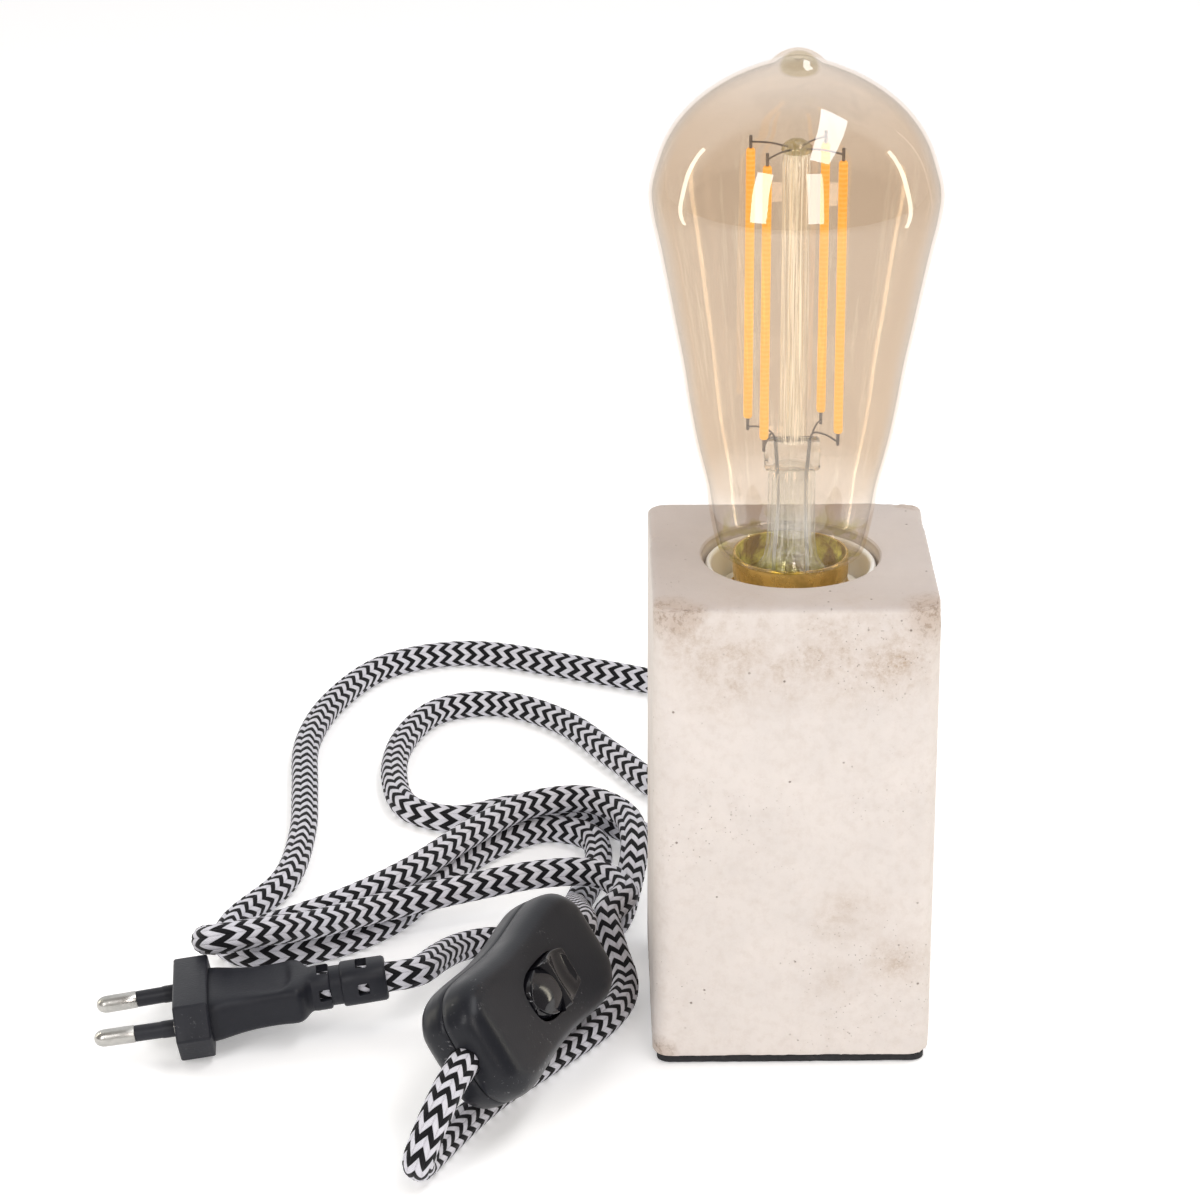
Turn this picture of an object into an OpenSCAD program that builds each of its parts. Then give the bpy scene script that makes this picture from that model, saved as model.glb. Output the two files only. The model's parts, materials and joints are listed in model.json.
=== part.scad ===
// Table lamp with a square concrete foot, a bare filament bulb and a textile cord
// with an inline rocker switch and a flat two-pin plug.
// Millimetres. Z is up, the front of the foot faces -Y, the origin is under the
// middle of the foot.

/* [Foot] */
// Width and depth of the concrete block
foot_w = 63; // [60:0.5:66]
// Height of the lamp to the top face of the block
foot_h = 113; // [111:0.5:114]
// Radius of the upright corners of the block
foot_r = 4; // [2:0.5:6]
// Thickness of the pad under the block
pad_t = 2; // [1.5:0.1:2.5]
// Clearance between the lampholder and the bore that holds it
bore_gap = 0.8; // [0.5:0.1:1.4]
// Radius of the hollow in the underside
hollow_r = 24; // [23:0.5:25]

/* [Lampholder] */
// Outer radius of the lampholder shell
shell_r = 19.2; // [18.8:0.1:19.4]
// Wall of the lampholder shell
shell_t = 1.5; // [1.3:0.1:1.7]
// Height of the rim of the lampholder
shell_top = 111; // [110:0.5:112.5]

/* [Bulb] */
// Widest radius of the glass
bulb_r = 32; // [31:0.25:32.5]
// Wall of the glass
glass_t = 0.8; // [0.6:0.1:1]
// Radius of the ring of filaments
filament_ring = 11; // [10:0.5:12]
// Radius of a filament
filament_r = 1; // [0.8:0.1:1.2]

/* [Cord] */
// Diameter of the textile cord
cord_d = 7; // [6.8:0.1:7]
// Sides of the cord's section
cord_sides = 10; // [8:1:12]

/* [Switch] */
// Half length of the switch
switch_l = 30.7; // [30:0.1:31.5]
// Half width of the switch at its shoulders
switch_w = 13.65; // [13.2:0.05:14]
// Half height of the switch
switch_h = 8.75; // [8.4:0.05:9]
// Wall of the switch shells
switch_t = 2; // [1.6:0.1:2.2]
// Width of the rocker
rocker_w = 12; // [11.4:0.1:12.2]

/* [Plug] */
// Width of the plug's collar
collar_w = 35.3; // [34:0.1:36]
// Height of the plug's collar
collar_h = 13.7; // [13:0.1:14]
// Length of a pin
pin_l = 19; // [18.5:0.1:19.5]
// Diameter of a pin
pin_d = 4; // [3.8:0.1:4.1]

/* [Hidden] */
foot_edge = 1.2;
shelf_bottom = 31;
shelf_top = 53;
nipple_r = 5;
nipple_bore = 4;
exit_z = 14;
cord_r = cord_d / 2;
shell_bore = shell_r - shell_t;
bore_r = shell_r + bore_gap;
dome_top = 68;
seat_z = 70;
floor_z = 80;
deck_z = 85;
sleeve_in = 13.45;
sleeve_out = 14;
cap_r = 13.1;
cap_in = 12.4;
cap_bottom = 91;
cap_top = 113.5;
thread_pitch = 3.629;
post_r = 3.2;
wire_at = 3.75;
screw_at = 9;
bush_in = 20.5;
rear_y = foot_w / 2;
bush_out = rear_y + 11.5;
sleeve_top = 104.8;
neck_bottom = cap_top - 7.5;

switch_pos = [-61.5, -41, 22.6];
switch_rot = [57, 0, 68];
switch_axis = [cos(68), sin(68), 0];
pivot_z = 6.2;
rocker_reach = 10.2;
rocker_tilt = 18;
bar_z = -2.6;
bar_tilt = 8;

plug_pos = [-140.7, -16.8, 7.4];
plug_rot = [-2.5, -7, 4.8];
plug_axis = [cos(7) * cos(4.8), cos(7) * sin(4.8), sin(7)];
plug_end = 48.7;
collar_l = 8;
pin_pitch = 18.6;
pin_toe = 1.8;

// Height and radius of the glass, from the rim of the cap to the widest place
glass_low = [
    [114, 16], [118, 17.2], [124, 18.4], [130, 19.3], [139.4, 21.6], [148.8, 23.4],
    [158, 24.8], [167.3, 26.6], [176.4, 28.3], [185.5, 30.1], [192, 31.5]
];
// The same from the widest place to the drawn tip
glass_high = [
    [203.4, 30.6], [207.8, 29], [212.2, 26.4], [216.6, 22.4], [221, 16.4], [224.4, 9.6],
    [225.6, 6.6], [227.4, 4.6], [228.6, 2.2]
];
glass_tip = 229;

// Route of the cord from the foot to the switch
lamp_route = concat(
    [[0, rear_y, exit_z], [0, bush_out, exit_z]],
    [[-0.8, 54, 12.3], [-5, 65, 7.4], [-15, 73, 3.9], [-31, 80, 3.5]],
    [[-45, 93, 3.5], [-62, 98, 3.5], [-79, 91, 3.5], [-91, 97, 3.5], [-96, 116, 3.5]],
    [[-94, 141, 3.5], [-85, 159, 3.5], [-69, 163, 3.5], [-52, 151, 3.5], [-38, 128, 3.5]],
    [[-24, 106, 3.5], [-4, 97, 3.5], [14, 105, 3.5], [20, 126, 3.5], [7, 153, 3.5]],
    [[-18, 172, 3.5], [-48, 187, 3.5], [-78, 198, 3.5], [-100, 190, 3.5], [-114, 166, 3.5]],
    [[-120, 138, 3.5], [-118, 84, 3.5], [-121, 56, 3.5]],
    [[-132, 33, 3.5], [-132, 22, 3.5], [-123, 17, 3.5], [-108, 22, 3.5], [-94, 34, 3.5]],
    [[-84, 52, 3.5], [-71, 74, 3.5], [-56, 85, 3.5], [-45, 80, 3.5], [-43, 66, 3.5]],
    [[-47.5, 46, 3.5], [-49, 37, 4.8], [-49, 26.5, 10.9], [-49, 16, 15.2], [-47.4, 3, 20]],
    [[-47.5, -6.5, 22.4], switch_pos + switch_l * switch_axis, switch_pos + 24 * switch_axis]
);
// Route of the cord from the switch to the plug
plug_route = concat(
    [switch_pos - 24 * switch_axis, switch_pos - switch_l * switch_axis],
    [[-75.8, -76.4, 21.4], [-79.5, -84.5, 16.8], [-82.6, -87, 9.4], [-82.6, -82, 4.4]],
    [[-79, -73, 3.5], [-68, -52, 3.5], [-41, -14, 3.5]],
    [[-37.5, 0, 3.8], [-40, 11, 8], [-41.5, 21, 11.2], [-37, 31.5, 11.9], [-43, 41.5, 12.4]],
    [[-56, 43, 11.8], [-76, 37, 10.8], [-96, 27, 10.8], [-111, 13, 13.8], [-124, 1.5, 17.6]],
    [[-132, -1.5, 17.8], [-135.5, 4, 14.6], [-131, 11, 11.2]],
    [[-106, 29, 10.8], [-89, 47, 10.8], [-74, 69, 10.8], [-60, 84, 10.8], [-46, 87, 10.8]],
    [[-36.5, 78, 10.8], [-34, 64, 10], [-36, 48, 4.9], [-40, 31, 3.5], [-50, 21.5, 3.5]],
    [[-68, 23, 3.8], [-76, 16, 6], [-81, 4, 9.5], [-86, -9.5, 12.8]],
    [plug_pos + plug_end * plug_axis, plug_pos + 32 * plug_axis]
);

function unit(v) = v / norm(v);
function tangents(p) = [
    for (i = [0 : len(p) - 1]) unit(p[min(i + 1, len(p) - 1)] - p[max(i - 1, 0)])
];
function carry(t, n) = unit(n - (n * t) * t);
function normals(t) = [
    for (i = 0, n = carry(t[0], [0, 0.2, 1]); i < len(t);
         i = i + 1, n = i < len(t) ? carry(t[i], n) : n) n
];
function route_length(p, i = 0) = i == len(p) - 1 ? 0 : norm(p[i + 1] - p[i]) + route_length(p, i + 1);
function middles(p) = [
    for (i = [0 : len(p) - 2]) for (k = [0, 1]) p[i] * (1 - k / 2) + p[i + 1] * (k / 2)
];
function nearest(a, b, skip) = min([
    for (i = [0 : len(a) - 1]) for (j = [0 : len(b) - 1]) if (j - i > skip) norm(a[i] - b[j])
]);

echo(cord_to_switch = route_length(lamp_route), cord_to_plug = route_length(plug_route));
echo(
    gap_lamp = nearest(middles(lamp_route), middles(lamp_route), 4) - cord_d,
    gap_plug = nearest(middles(plug_route), middles(plug_route), 4) - cord_d,
    gap_between = nearest(middles(lamp_route), middles(plug_route), -999) - cord_d
);

// A tube of constant radius along a list of points
module tube(p, r, sides) {
    t = tangents(p);
    n = normals(t);
    last = (len(p) - 1) * sides;
    polyhedron(
        points = [
            for (i = [0 : len(p) - 1]) for (k = [0 : sides - 1])
                p[i] + r * (cos(360 * k / sides) * n[i] + sin(360 * k / sides) * cross(t[i], n[i]))
        ],
        faces = concat(
            [[for (k = [0 : sides - 1]) k]],
            [
                for (i = [0 : len(p) - 2]) for (k = [0 : sides - 1])
                    [i * sides + k, (i + 1) * sides + k, (i + 1) * sides + (k + 1) % sides]
            ],
            [
                for (i = [0 : len(p) - 2]) for (k = [0 : sides - 1])
                    [i * sides + k, (i + 1) * sides + (k + 1) % sides, i * sides + (k + 1) % sides]
            ],
            [[for (k = [0 : sides - 1]) last + sides - 1 - k]]
        )
    );
}

// A round rod between two points
module rod(a, b, r) {
    d = b - a;
    translate(a)
        rotate([0, acos(d[2] / norm(d)), atan2(d[1], d[0])])
            cylinder(r = r, h = norm(d), $fn = 24);
}

// A slab with round upright corners
module slab(w, r, z0, z1) {
    translate([0, 0, z0]) {
        translate([-w / 2 + r, -w / 2, 0]) cube([w - 2 * r, w, z1 - z0]);
        translate([-w / 2, -w / 2 + r, 0]) cube([w, w - 2 * r, z1 - z0]);
        for (x = [-1, 1]) for (y = [-1, 1]) {
            translate([x * (w / 2 - r), y * (w / 2 - r), 0])
                cylinder(r = r, h = z1 - z0, $fn = 48);
        }
    }
}

// A cylinder along Y
module y_cylinder(y0, y1, r0, r1) {
    translate([0, y0, exit_z]) rotate([-90, 0, 0]) cylinder(r1 = r0, r2 = r1, h = y1 - y0, $fn = 48);
}

// A ring about Z
module ring(r_in, r_out, z0, z1) {
    rotate_extrude($fn = 96) translate([r_in, z0]) square([r_out - r_in, z1 - z0]);
}

module concrete_body() {
    color([0.86, 0.83, 0.79]) difference() {
        union() {
            slab(foot_w, foot_r, pad_t, foot_h - foot_edge);
            hull() {
                slab(foot_w, foot_r, foot_h - foot_edge - 0.01, foot_h - foot_edge);
                slab(foot_w - 2 * foot_edge, foot_r - foot_edge, foot_h - 0.3, foot_h);
            }
        }
        translate([0, 0, shelf_top]) cylinder(r = bore_r, h = foot_h, $fn = 96);
        translate([0, 0, shelf_bottom - 1]) cylinder(r = nipple_r + 0.6, h = 30, $fn = 48);
        translate([0, 0, -1]) cylinder(r = hollow_r, h = shelf_bottom + 1, $fn = 96);
        y_cylinder(15, foot_w, cord_r + 1.5, cord_r + 1.5);
    }
}

module base_pad() {
    color([0.06, 0.06, 0.06]) slab(foot_w - 2, foot_r - 1, 0, pad_t);
}

module cord_bush() {
    color([0.08, 0.08, 0.08]) difference() {
        union() {
            y_cylinder(bush_in, foot_w / 2 + 1, cord_r + 1.5, cord_r + 1.5);
            y_cylinder(foot_w / 2, foot_w / 2 + 1.6, cord_r + 3.2, cord_r + 3);
            y_cylinder(foot_w / 2 + 1.5, bush_out, cord_r + 2.6, cord_r + 0.9);
        }
        y_cylinder(bush_in - 1, bush_out + 1, cord_r + 0.05, cord_r + 0.05);
        for (y = [foot_w / 2 + 3 : 2.1 : bush_out - 1]) {
            translate([0, y, exit_z]) rotate([-90, 0, 0]) ring(cord_r + 0.7, cord_r + 4, 0, 0.8);
        }
    }
}

// Half of the cord grip, from a parting height
module grip_half(z0, z1) {
    difference() {
        translate([-9, 12.5, z0]) cube([18, bush_in - 12.5, z1 - z0]);
        y_cylinder(12, bush_in + 1, cord_r, cord_r);
        for (x = [-6, 6]) translate([x, 16.5, 0]) cylinder(r = 1.4, h = 40, $fn = 32);
    }
}

module grip_lower() {
    color([0.2, 0.2, 0.2]) grip_half(exit_z - 5.5, exit_z - 0.3);
}

module grip_upper() {
    color([0.2, 0.2, 0.2]) grip_half(exit_z + 0.3, exit_z + 5.5);
}

module grip_screws() {
    color([0.7, 0.7, 0.72]) for (x = [-6, 6]) {
        translate([x, 16.5, exit_z - 7.3]) difference() {
            union() {
                cylinder(r = 2.5, h = 1.8, $fn = 32);
                cylinder(r = 1.4, h = 12, $fn = 32);
            }
            translate([-3, -0.4, -0.1]) cube([6, 0.8, 0.9]);
        }
    }
}

module shelf_washer() {
    color([0.72, 0.72, 0.74]) ring(nipple_r + 0.2, 11, shelf_bottom - 1.6, shelf_bottom);
}

module lock_nut() {
    color([0.78, 0.7, 0.42]) difference() {
        translate([0, 0, shelf_bottom - 6.4]) cylinder(r = 8.1, h = 4.8, $fn = 6);
        cylinder(r = nipple_r, h = 60, $fn = 48);
    }
}

module nipple() {
    color([0.75, 0.75, 0.77]) difference() {
        ring(nipple_bore, nipple_r, shelf_bottom - 7, 61);
        for (z = [shelf_bottom - 6.5 : 1 : shelf_bottom - 1.8]) {
            ring(nipple_r - 0.25, nipple_r + 1, z, z + 0.45);
        }
    }
}

module inner_cord() {
    arc = [for (a = [0 : 30 : 90]) [0, 11 - 11 * sin(a), exit_z + 11 - 11 * cos(a)]];
    color([0.55, 0.55, 0.55])
        tube(concat([[0, rear_y, exit_z], [0, 22, exit_z]], arc, [[0, 0, 64]]), cord_r, cord_sides);
}

module holder_lead(s) {
    tube([
        [s * 1.6, 0, 64], [s * 1.6, 0, 65], [s * 2.4, 0.8, 66.6], [s * 5, 3.2, 69.8], [s * 8, 5.8, 72],
        [s * screw_at, 6.6, 74], [s * screw_at, 5.8, 76], [s * screw_at, 4, 76.6],
        [s * screw_at, 0.6, 76.6]
    ], 0.85, 8);
}

module lead_live() {
    color([0.45, 0.28, 0.15]) holder_lead(1);
}

module lead_neutral() {
    color([0.2, 0.35, 0.7]) holder_lead(-1);
}

module holder_dome() {
    color([0.95, 0.94, 0.9]) rotate_extrude($fn = 96) polygon([
        [nipple_r, shelf_top], [shell_r - 2.2, shelf_top], [shell_r, shelf_top + 2.2],
        [shell_r, dome_top], [shell_bore, dome_top], [shell_bore, shelf_top + 3],
        [nipple_r + 2.5, shelf_top + 3], [nipple_r + 2, shelf_top + 8], [nipple_r, shelf_top + 8]
    ]);
}

module holder_shell() {
    color([0.96, 0.95, 0.92]) rotate_extrude($fn = 96) polygon([
        [shell_bore - 1.5, dome_top - 6], [shell_bore, dome_top - 6], [shell_bore, dome_top],
        [shell_r, dome_top],
        [shell_r, shell_top - 0.6], [shell_r - 0.6, shell_top], [shell_bore + 0.3, shell_top],
        [shell_bore, shell_top - 0.3], [shell_bore, seat_z], [shell_bore - 1.5, seat_z]
    ]);
}

module holder_insert() {
    color([0.93, 0.92, 0.88]) difference() {
        rotate_extrude($fn = 96) polygon([
            [13.2, shelf_top + 3], [shell_bore - 1.8, shelf_top + 3], [shell_bore - 1.8, seat_z],
            [shell_bore - 0.3, seat_z], [shell_bore - 0.3, sleeve_top - 1.8],
            [shell_bore - 1.3, sleeve_top - 0.6], [sleeve_out, sleeve_top - 0.6],
            [sleeve_out, deck_z], [0, deck_z], [0, floor_z],
            [13.2, floor_z]
        ]);
        for (x = [-screw_at, screw_at]) translate([x, 0, 70]) cylinder(r = 1.4, h = 40, $fn = 32);
        cylinder(r = 1.2, h = 200, $fn = 32);
        for (y = [-11.4, 11.4]) translate([0, y, 70]) cylinder(r = 1.1, h = 40, $fn = 32);
        for (a = [45, 135, 225, 315]) {
            rotate([0, 0, a]) translate([shell_bore - 2.1, -1.5, 78]) cube([3, 3, 40]);
        }
    }
}

module screw_sleeve() {
    color([0.8, 0.66, 0.35]) difference() {
        rotate_extrude($fn = 96) polygon([
            [8.6, deck_z], [sleeve_out, deck_z], [sleeve_out, sleeve_top],
            [sleeve_in + 0.2, sleeve_top], [sleeve_in, sleeve_top - 0.4], [sleeve_in, deck_z + 0.6],
            [8.6, deck_z + 0.6]
        ]);
        for (y = [-11.4, 11.4]) translate([0, y, 70]) cylinder(r = 1.1, h = 40, $fn = 32);
        translate([screw_at, 0, deck_z - 1]) cylinder(r = 3.4, h = 3, $fn = 32);
    }
}

module sleeve_rivets() {
    color([0.8, 0.66, 0.35]) for (y = [-11.4, 11.4]) translate([0, y, 0]) {
        translate([0, 0, floor_z - 0.6]) cylinder(r = 1.1, h = 6.2, $fn = 32);
        translate([0, 0, floor_z - 0.7]) cylinder(r = 1.8, h = 0.7, $fn = 32);
        translate([0, 0, deck_z + 0.6]) cylinder(r = 1.8, h = 0.7, $fn = 32);
    }
}

module centre_contact() {
    color([0.85, 0.7, 0.4]) difference() {
        union() {
            translate([-4.5, -2, deck_z]) cube([9, 4, 0.5]);
            translate([4.4, 2, deck_z]) rotate([90, 0, 0]) linear_extrude(4) polygon([
                [-0.3, 0], [0, 0], [-3.6, 2], [-5.4, 2], [-8.6, 0.5], [-8.6, 0], [-5.2, 1.5], [-3.8, 1.5]
            ]);
        }
        cylinder(r = 1.2, h = deck_z + 0.7, $fn = 32);
    }
}

module contact_rivet() {
    color([0.8, 0.66, 0.35]) {
        translate([0, 0, floor_z - 0.6]) cylinder(r = 1.2, h = deck_z + 0.6 - floor_z, $fn = 32);
        translate([0, 0, floor_z - 0.7]) cylinder(r = 2, h = 0.7, $fn = 32);
    }
}

// Terminal under the floor of the lampholder
module terminal(s) {
    translate([s * screw_at, 0, 0]) difference() {
        translate([-3, -3.5, 73.2]) cube([6, 7, floor_z - 73.2]);
        translate([0, 0, 70]) cylinder(r = 1.4, h = 20, $fn = 32);
        translate([0, 0, 76.6]) rotate([-90, 0, 0]) cylinder(r = 0.9, h = 10, $fn = 32);
    }
}

module terminal_live() {
    color([0.8, 0.66, 0.35]) terminal(1);
}

module terminal_neutral() {
    color([0.8, 0.66, 0.35]) terminal(-1);
}

module terminal_screws() {
    color([0.75, 0.75, 0.77]) for (s = [-1, 1]) translate([s * screw_at, 0, 0]) difference() {
        union() {
            translate([0, 0, 71.4]) cylinder(r = 2.4, h = 1.8, $fn = 32);
            translate([0, 0, 73.2]) cylinder(r = 1.4, h = 2.4, $fn = 32);
        }
        translate([-3, -0.4, 71.3]) cube([6, 0.8, 0.9]);
    }
}

module glass_envelope() {
    outer = concat(
        [[cap_in, neck_bottom], [cap_in, cap_top + 0.02], [cap_in + 1, cap_top + 0.1]],
        [for (q = glass_low) [q[1], q[0]]],
        [[bulb_r, 197.5]],
        [for (q = glass_high) [q[1], q[0]]],
        [[0, glass_tip]]
    );
    inner = concat(
        [[0, glass_tip - 3]],
        [for (k = [len(glass_high) - 3 : -1 : 0]) [glass_high[k][1] - glass_t, glass_high[k][0] - glass_t / 2]],
        [[bulb_r - glass_t, 197.5]],
        [for (k = [len(glass_low) - 1 : -1 : 0]) [glass_low[k][1] - glass_t, glass_low[k][0]]],
        [[cap_in + 0.2, cap_top + 0.6], [cap_in - 1, cap_top - 0.6], [cap_in - 1, neck_bottom]]
    );
    color([0.85, 0.5, 0.15, 0.4]) rotate_extrude($fn = 96) polygon(concat(outer, inner));
}

module glass_stem() {
    color([0.9, 0.7, 0.4, 0.5]) difference() {
        union() {
            rotate_extrude($fn = 48) polygon([
                [10.2, neck_bottom], [cap_in - 1, neck_bottom], [cap_in - 1, neck_bottom + 0.9],
                [8, neck_bottom + 3], [6, neck_bottom + 6.5],
                [5.3, 117], [5.3, 132.4], [4.2, 134.4], [0, 134.4], [0, 132], [4.5, 131.2],
                [4.5, 117], [5.2, 112.1], [7.4, 108.2]
            ]);
            translate([-6.2, -1.7, 133.2]) cube([12.4, 3.4, 7.4]);
            translate([0, 0, 140]) cylinder(r = post_r, h = 66, $fn = 48);
        }
        for (s = [-1, 1]) translate([s * wire_at, 0, 130]) cylinder(r = 0.45, h = 12, $fn = 24);
    }
}

function around(a) = [filament_ring * cos(a), filament_ring * sin(a)];

module filament(a) {
    color([1, 0.72, 0.2]) translate([around(a)[0], around(a)[1], 143.5]) {
        cylinder(r = filament_r, h = 62, $fn = 32);
        for (z = [-0.8, 62]) translate([-0.7, -0.3, z]) cube([1.4, 0.6, 0.8]);
    }
}

module filament_1() {
    filament(52);
}

module filament_2() {
    filament(152);
}

module filament_3() {
    filament(232);
}

module filament_4() {
    filament(332);
}

module top_hub() {
    color([0.75, 0.72, 0.68]) {
        ring(0, 3.4, 206, 207.6);
        translate([0, 0, 207.6]) cylinder(r1 = 3, r2 = 1.2, h = 1.4, $fn = 48);
        for (a = [52, 152, 232, 332]) {
            rod([2.4 * cos(a), 2.4 * sin(a), 207], [around(a)[0], around(a)[1], 206.7], 0.35);
            translate([around(a)[0], around(a)[1], 206.3]) cylinder(r = 0.35, h = 0.6, $fn = 24);
        }
    }
}

// Support wire from the pinch of the stem to two filaments
module support(s, a, b) {
    foot = [[s * wire_at, 0, 108], [s * wire_at, 0, 123], [s * wire_at, 0, 140.4], [s * 4.6, 0, 141.3]];
    tube(concat(foot, [[around(a)[0], around(a)[1], 142.2]]), 0.42, 8);
    tube([foot[3], (foot[3] + [around(b)[0], around(b)[1], 142]) / 2, [around(b)[0], around(b)[1], 142.2]], 0.42, 8);
}

module support_live() {
    color([0.7, 0.68, 0.66]) support(1, 52, 332);
}

module support_neutral() {
    color([0.7, 0.68, 0.66]) support(-1, 152, 232);
}

module driver_board() {
    color([0.15, 0.4, 0.2]) {
        translate([-8, -0.8, 94]) cube([16, 1.6, 12]);
        translate([-3, 0.8, 96]) cube([6, 3, 7]);
        translate([-6.5, -3.2, 98]) cube([4, 2.5, 5]);
        for (s = [-1, 1]) translate([s * wire_at, 0, 105.9]) cylinder(r = 0.45, h = 2.1, $fn = 24);
        translate([0, 0, 88.8]) cylinder(r = 0.5, h = 5.3, $fn = 24);
        rod([7.9, 0, 96], [cap_in, 0, 96], 0.5);
    }
}

module bulb_cap() {
    color([0.82, 0.68, 0.36]) difference() {
        rotate_extrude($fn = 96) polygon([
            [8.5, cap_bottom], [11.6, cap_bottom], [12.6, cap_bottom + 1.4], [cap_r - 0.1, cap_bottom + 2],
            [cap_r - 0.1, cap_top], [cap_in, cap_top], [cap_in, cap_bottom + 2.2],
            [11.2, cap_bottom + 0.7], [8.5, cap_bottom + 0.7]
        ]);
        for (k = [0 : 4]) rotate_extrude($fn = 96)
            translate([cap_r + 0.4, cap_bottom + 3.6 + k * thread_pitch]) circle(r = 0.85, $fn = 24);
    }
}

module cap_insulator() {
    color([0.05, 0.05, 0.06]) rotate_extrude($fn = 96) polygon([
        [4.75, 88.7], [5.6, 88.7], [10.4, 90.4], [11.2, cap_bottom], [8.5, cap_bottom],
        [8.5, cap_bottom + 0.7], [7.6, 92.6], [0.5, 92.6], [0.5, 88.7]
    ]);
}

module tip_contact() {
    color([0.72, 0.72, 0.74]) rotate_extrude($fn = 64) polygon([
        [0, 87.6], [3.4, 87.6], [4.75, 88], [4.75, 88.4], [0, 88.4]
    ]);
}

module cord_lamp() {
    color([0.55, 0.55, 0.55]) tube(lamp_route, cord_r, cord_sides);
}

module cord_plug() {
    color([0.55, 0.55, 0.55]) tube(plug_route, cord_r, cord_sides);
}

module on_switch() {
    translate(switch_pos) rotate(switch_rot) children();
}

// Corner discs of half of the switch shell, shrunk by g, from height z up to z + h
module shell_corners(s, g, z, h) {
    r = 2;
    for (y = [-1, 1]) translate([0, 0, z]) {
        translate([0, y * (switch_w - 0.7 - r - g), 0]) cylinder(r = r, h = h, $fn = 32);
        translate([s * (22 - g / 2), y * (switch_w - r - g), 0]) cylinder(r = r, h = h, $fn = 32);
        translate([s * (switch_l - r - g), y * (7.5 - r - g / 2), 0]) cylinder(r = r, h = h, $fn = 32);
    }
}

// Solid of the shell from its parting plane to height h, shrunk by g
module shell_solid(h, g) {
    for (s = [-1, 1]) hull() {
        shell_corners(s, g, 0, h - 3);
        shell_corners(s, g + 0.7, h - 1.1, 0.1);
        shell_corners(s, g + 2.2, h - 0.1, 0.1);
    }
}

module cord_holes(r) {
    translate([-40, 0, 0]) rotate([0, 90, 0]) cylinder(r = r, h = 80, $fn = 48);
}

module switch_top() {
    color([0.06, 0.06, 0.07]) on_switch() difference() {
        union() {
            difference() {
                shell_solid(switch_h, 0);
                translate([0, 0, -0.1]) shell_solid(switch_h - switch_t + 0.1, switch_t);
            }
            for (y = [-1, 1]) {
                translate([-3, y * 7.6 - 1.3, 3.6]) cube([6, 2.6, switch_h - 5]);
            }
            for (x = [-12, 12]) translate([x, -8.9, 0]) cylinder(r = 2.8, h = 7, $fn = 32);
        }
        translate([-rocker_reach - 0.3, -rocker_w / 2 - 0.3, 2]) cube([2 * rocker_reach + 0.6, rocker_w + 0.6, 10]);
        translate([0, -8.2, pivot_z]) rotate([-90, 0, 0]) cylinder(r = 1.35, h = 16.4, $fn = 48);
        for (x = [-12, 12]) translate([x, -8.9, -1]) cylinder(r = 1.5, h = 7.2, $fn = 32);
        cord_holes(cord_r + 0.1);
    }
}

module switch_bottom() {
    color([0.06, 0.06, 0.07]) on_switch() difference() {
        union() {
            difference() {
                mirror([0, 0, 1]) shell_solid(switch_h, 0);
                mirror([0, 0, 1]) translate([0, 0, -0.1]) shell_solid(switch_h - switch_t + 0.1, switch_t);
            }
            for (s = [-1, 1]) translate([s * 22.5 - 2, -8, -switch_h + 1]) cube([4, 16, switch_h - 1]);
            for (x = [-12, 12]) translate([x, -8.9, -switch_h + 1]) cylinder(r = 2.8, h = switch_h - 1, $fn = 32);
        }
        for (x = [-12, 12]) translate([x, -8.9, -switch_h - 1]) {
            cylinder(r = 1.5, h = 12, $fn = 32);
            cylinder(r = 2.3, h = 3.2, $fn = 32);
        }
        for (s = [-1, 1]) for (y = [-5.8, 5.8]) {
            translate([s * 22.5, y, -5]) cylinder(r = 1.1, h = 8, $fn = 32);
        }
        cord_holes(cord_r + 0.1);
    }
}

module shell_screws() {
    color([0.7, 0.7, 0.72]) on_switch() for (x = [-12, 12]) {
        translate([x, -8.9, 0]) difference() {
            union() {
                translate([0, 0, -8.3]) cylinder(r = 2.3, h = 1.75, $fn = 32);
                translate([0, 0, -7]) cylinder(r = 1.5, h = 12.6, $fn = 32);
            }
            translate([-3, -0.4, -8.4]) cube([6, 0.8, 0.9]);
            translate([-0.4, -3, -8.4]) cube([0.8, 6, 0.9]);
        }
    }
}

// Place of the rocker, tilted to its rest position about its pivot
module on_pivot() {
    on_switch() translate([0, 0, pivot_z]) rotate([0, rocker_tilt, 0]) children();
}

module rocker() {
    wing = [for (a = [-8 : 4 : 32]) rocker_reach * [cos(a), sin(a)]];
    color([0.04, 0.04, 0.05]) on_pivot() difference() {
        union() {
            intersection() {
                translate([0, rocker_w / 2, 0]) rotate([90, 0, 0]) linear_extrude(rocker_w) difference() {
                    circle(r = rocker_reach, $fn = 96);
                    polygon([[-20, 20], [-8.65, 5.41], [-5, 4.5], [0, 4], [5, 4.5], [8.65, 5.41], [20, 20]]);
                    translate([-20, -21.4]) square([40, 20]);
                }
                hull() for (x = [-8.2, 8.2]) for (y = [-1, 1]) {
                    translate([x, y * (rocker_w / 2 - 2), -3]) cylinder(r = 2, h = 12, $fn = 32);
                }
            }
            translate([0, -8, 0]) rotate([-90, 0, 0]) cylinder(r = 1.3, h = 16, $fn = 48);
            translate([0, 0, -5]) cylinder(r = 2.6, h = 6, $fn = 48);
        }
        translate([0, 0, -6]) cylinder(r = 1.9, h = 7.6, $fn = 48);
        for (s = [-1, 1]) translate([s * 6, 0, 19]) sphere(r = 14.8, $fn = 64);
    }
}

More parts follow.
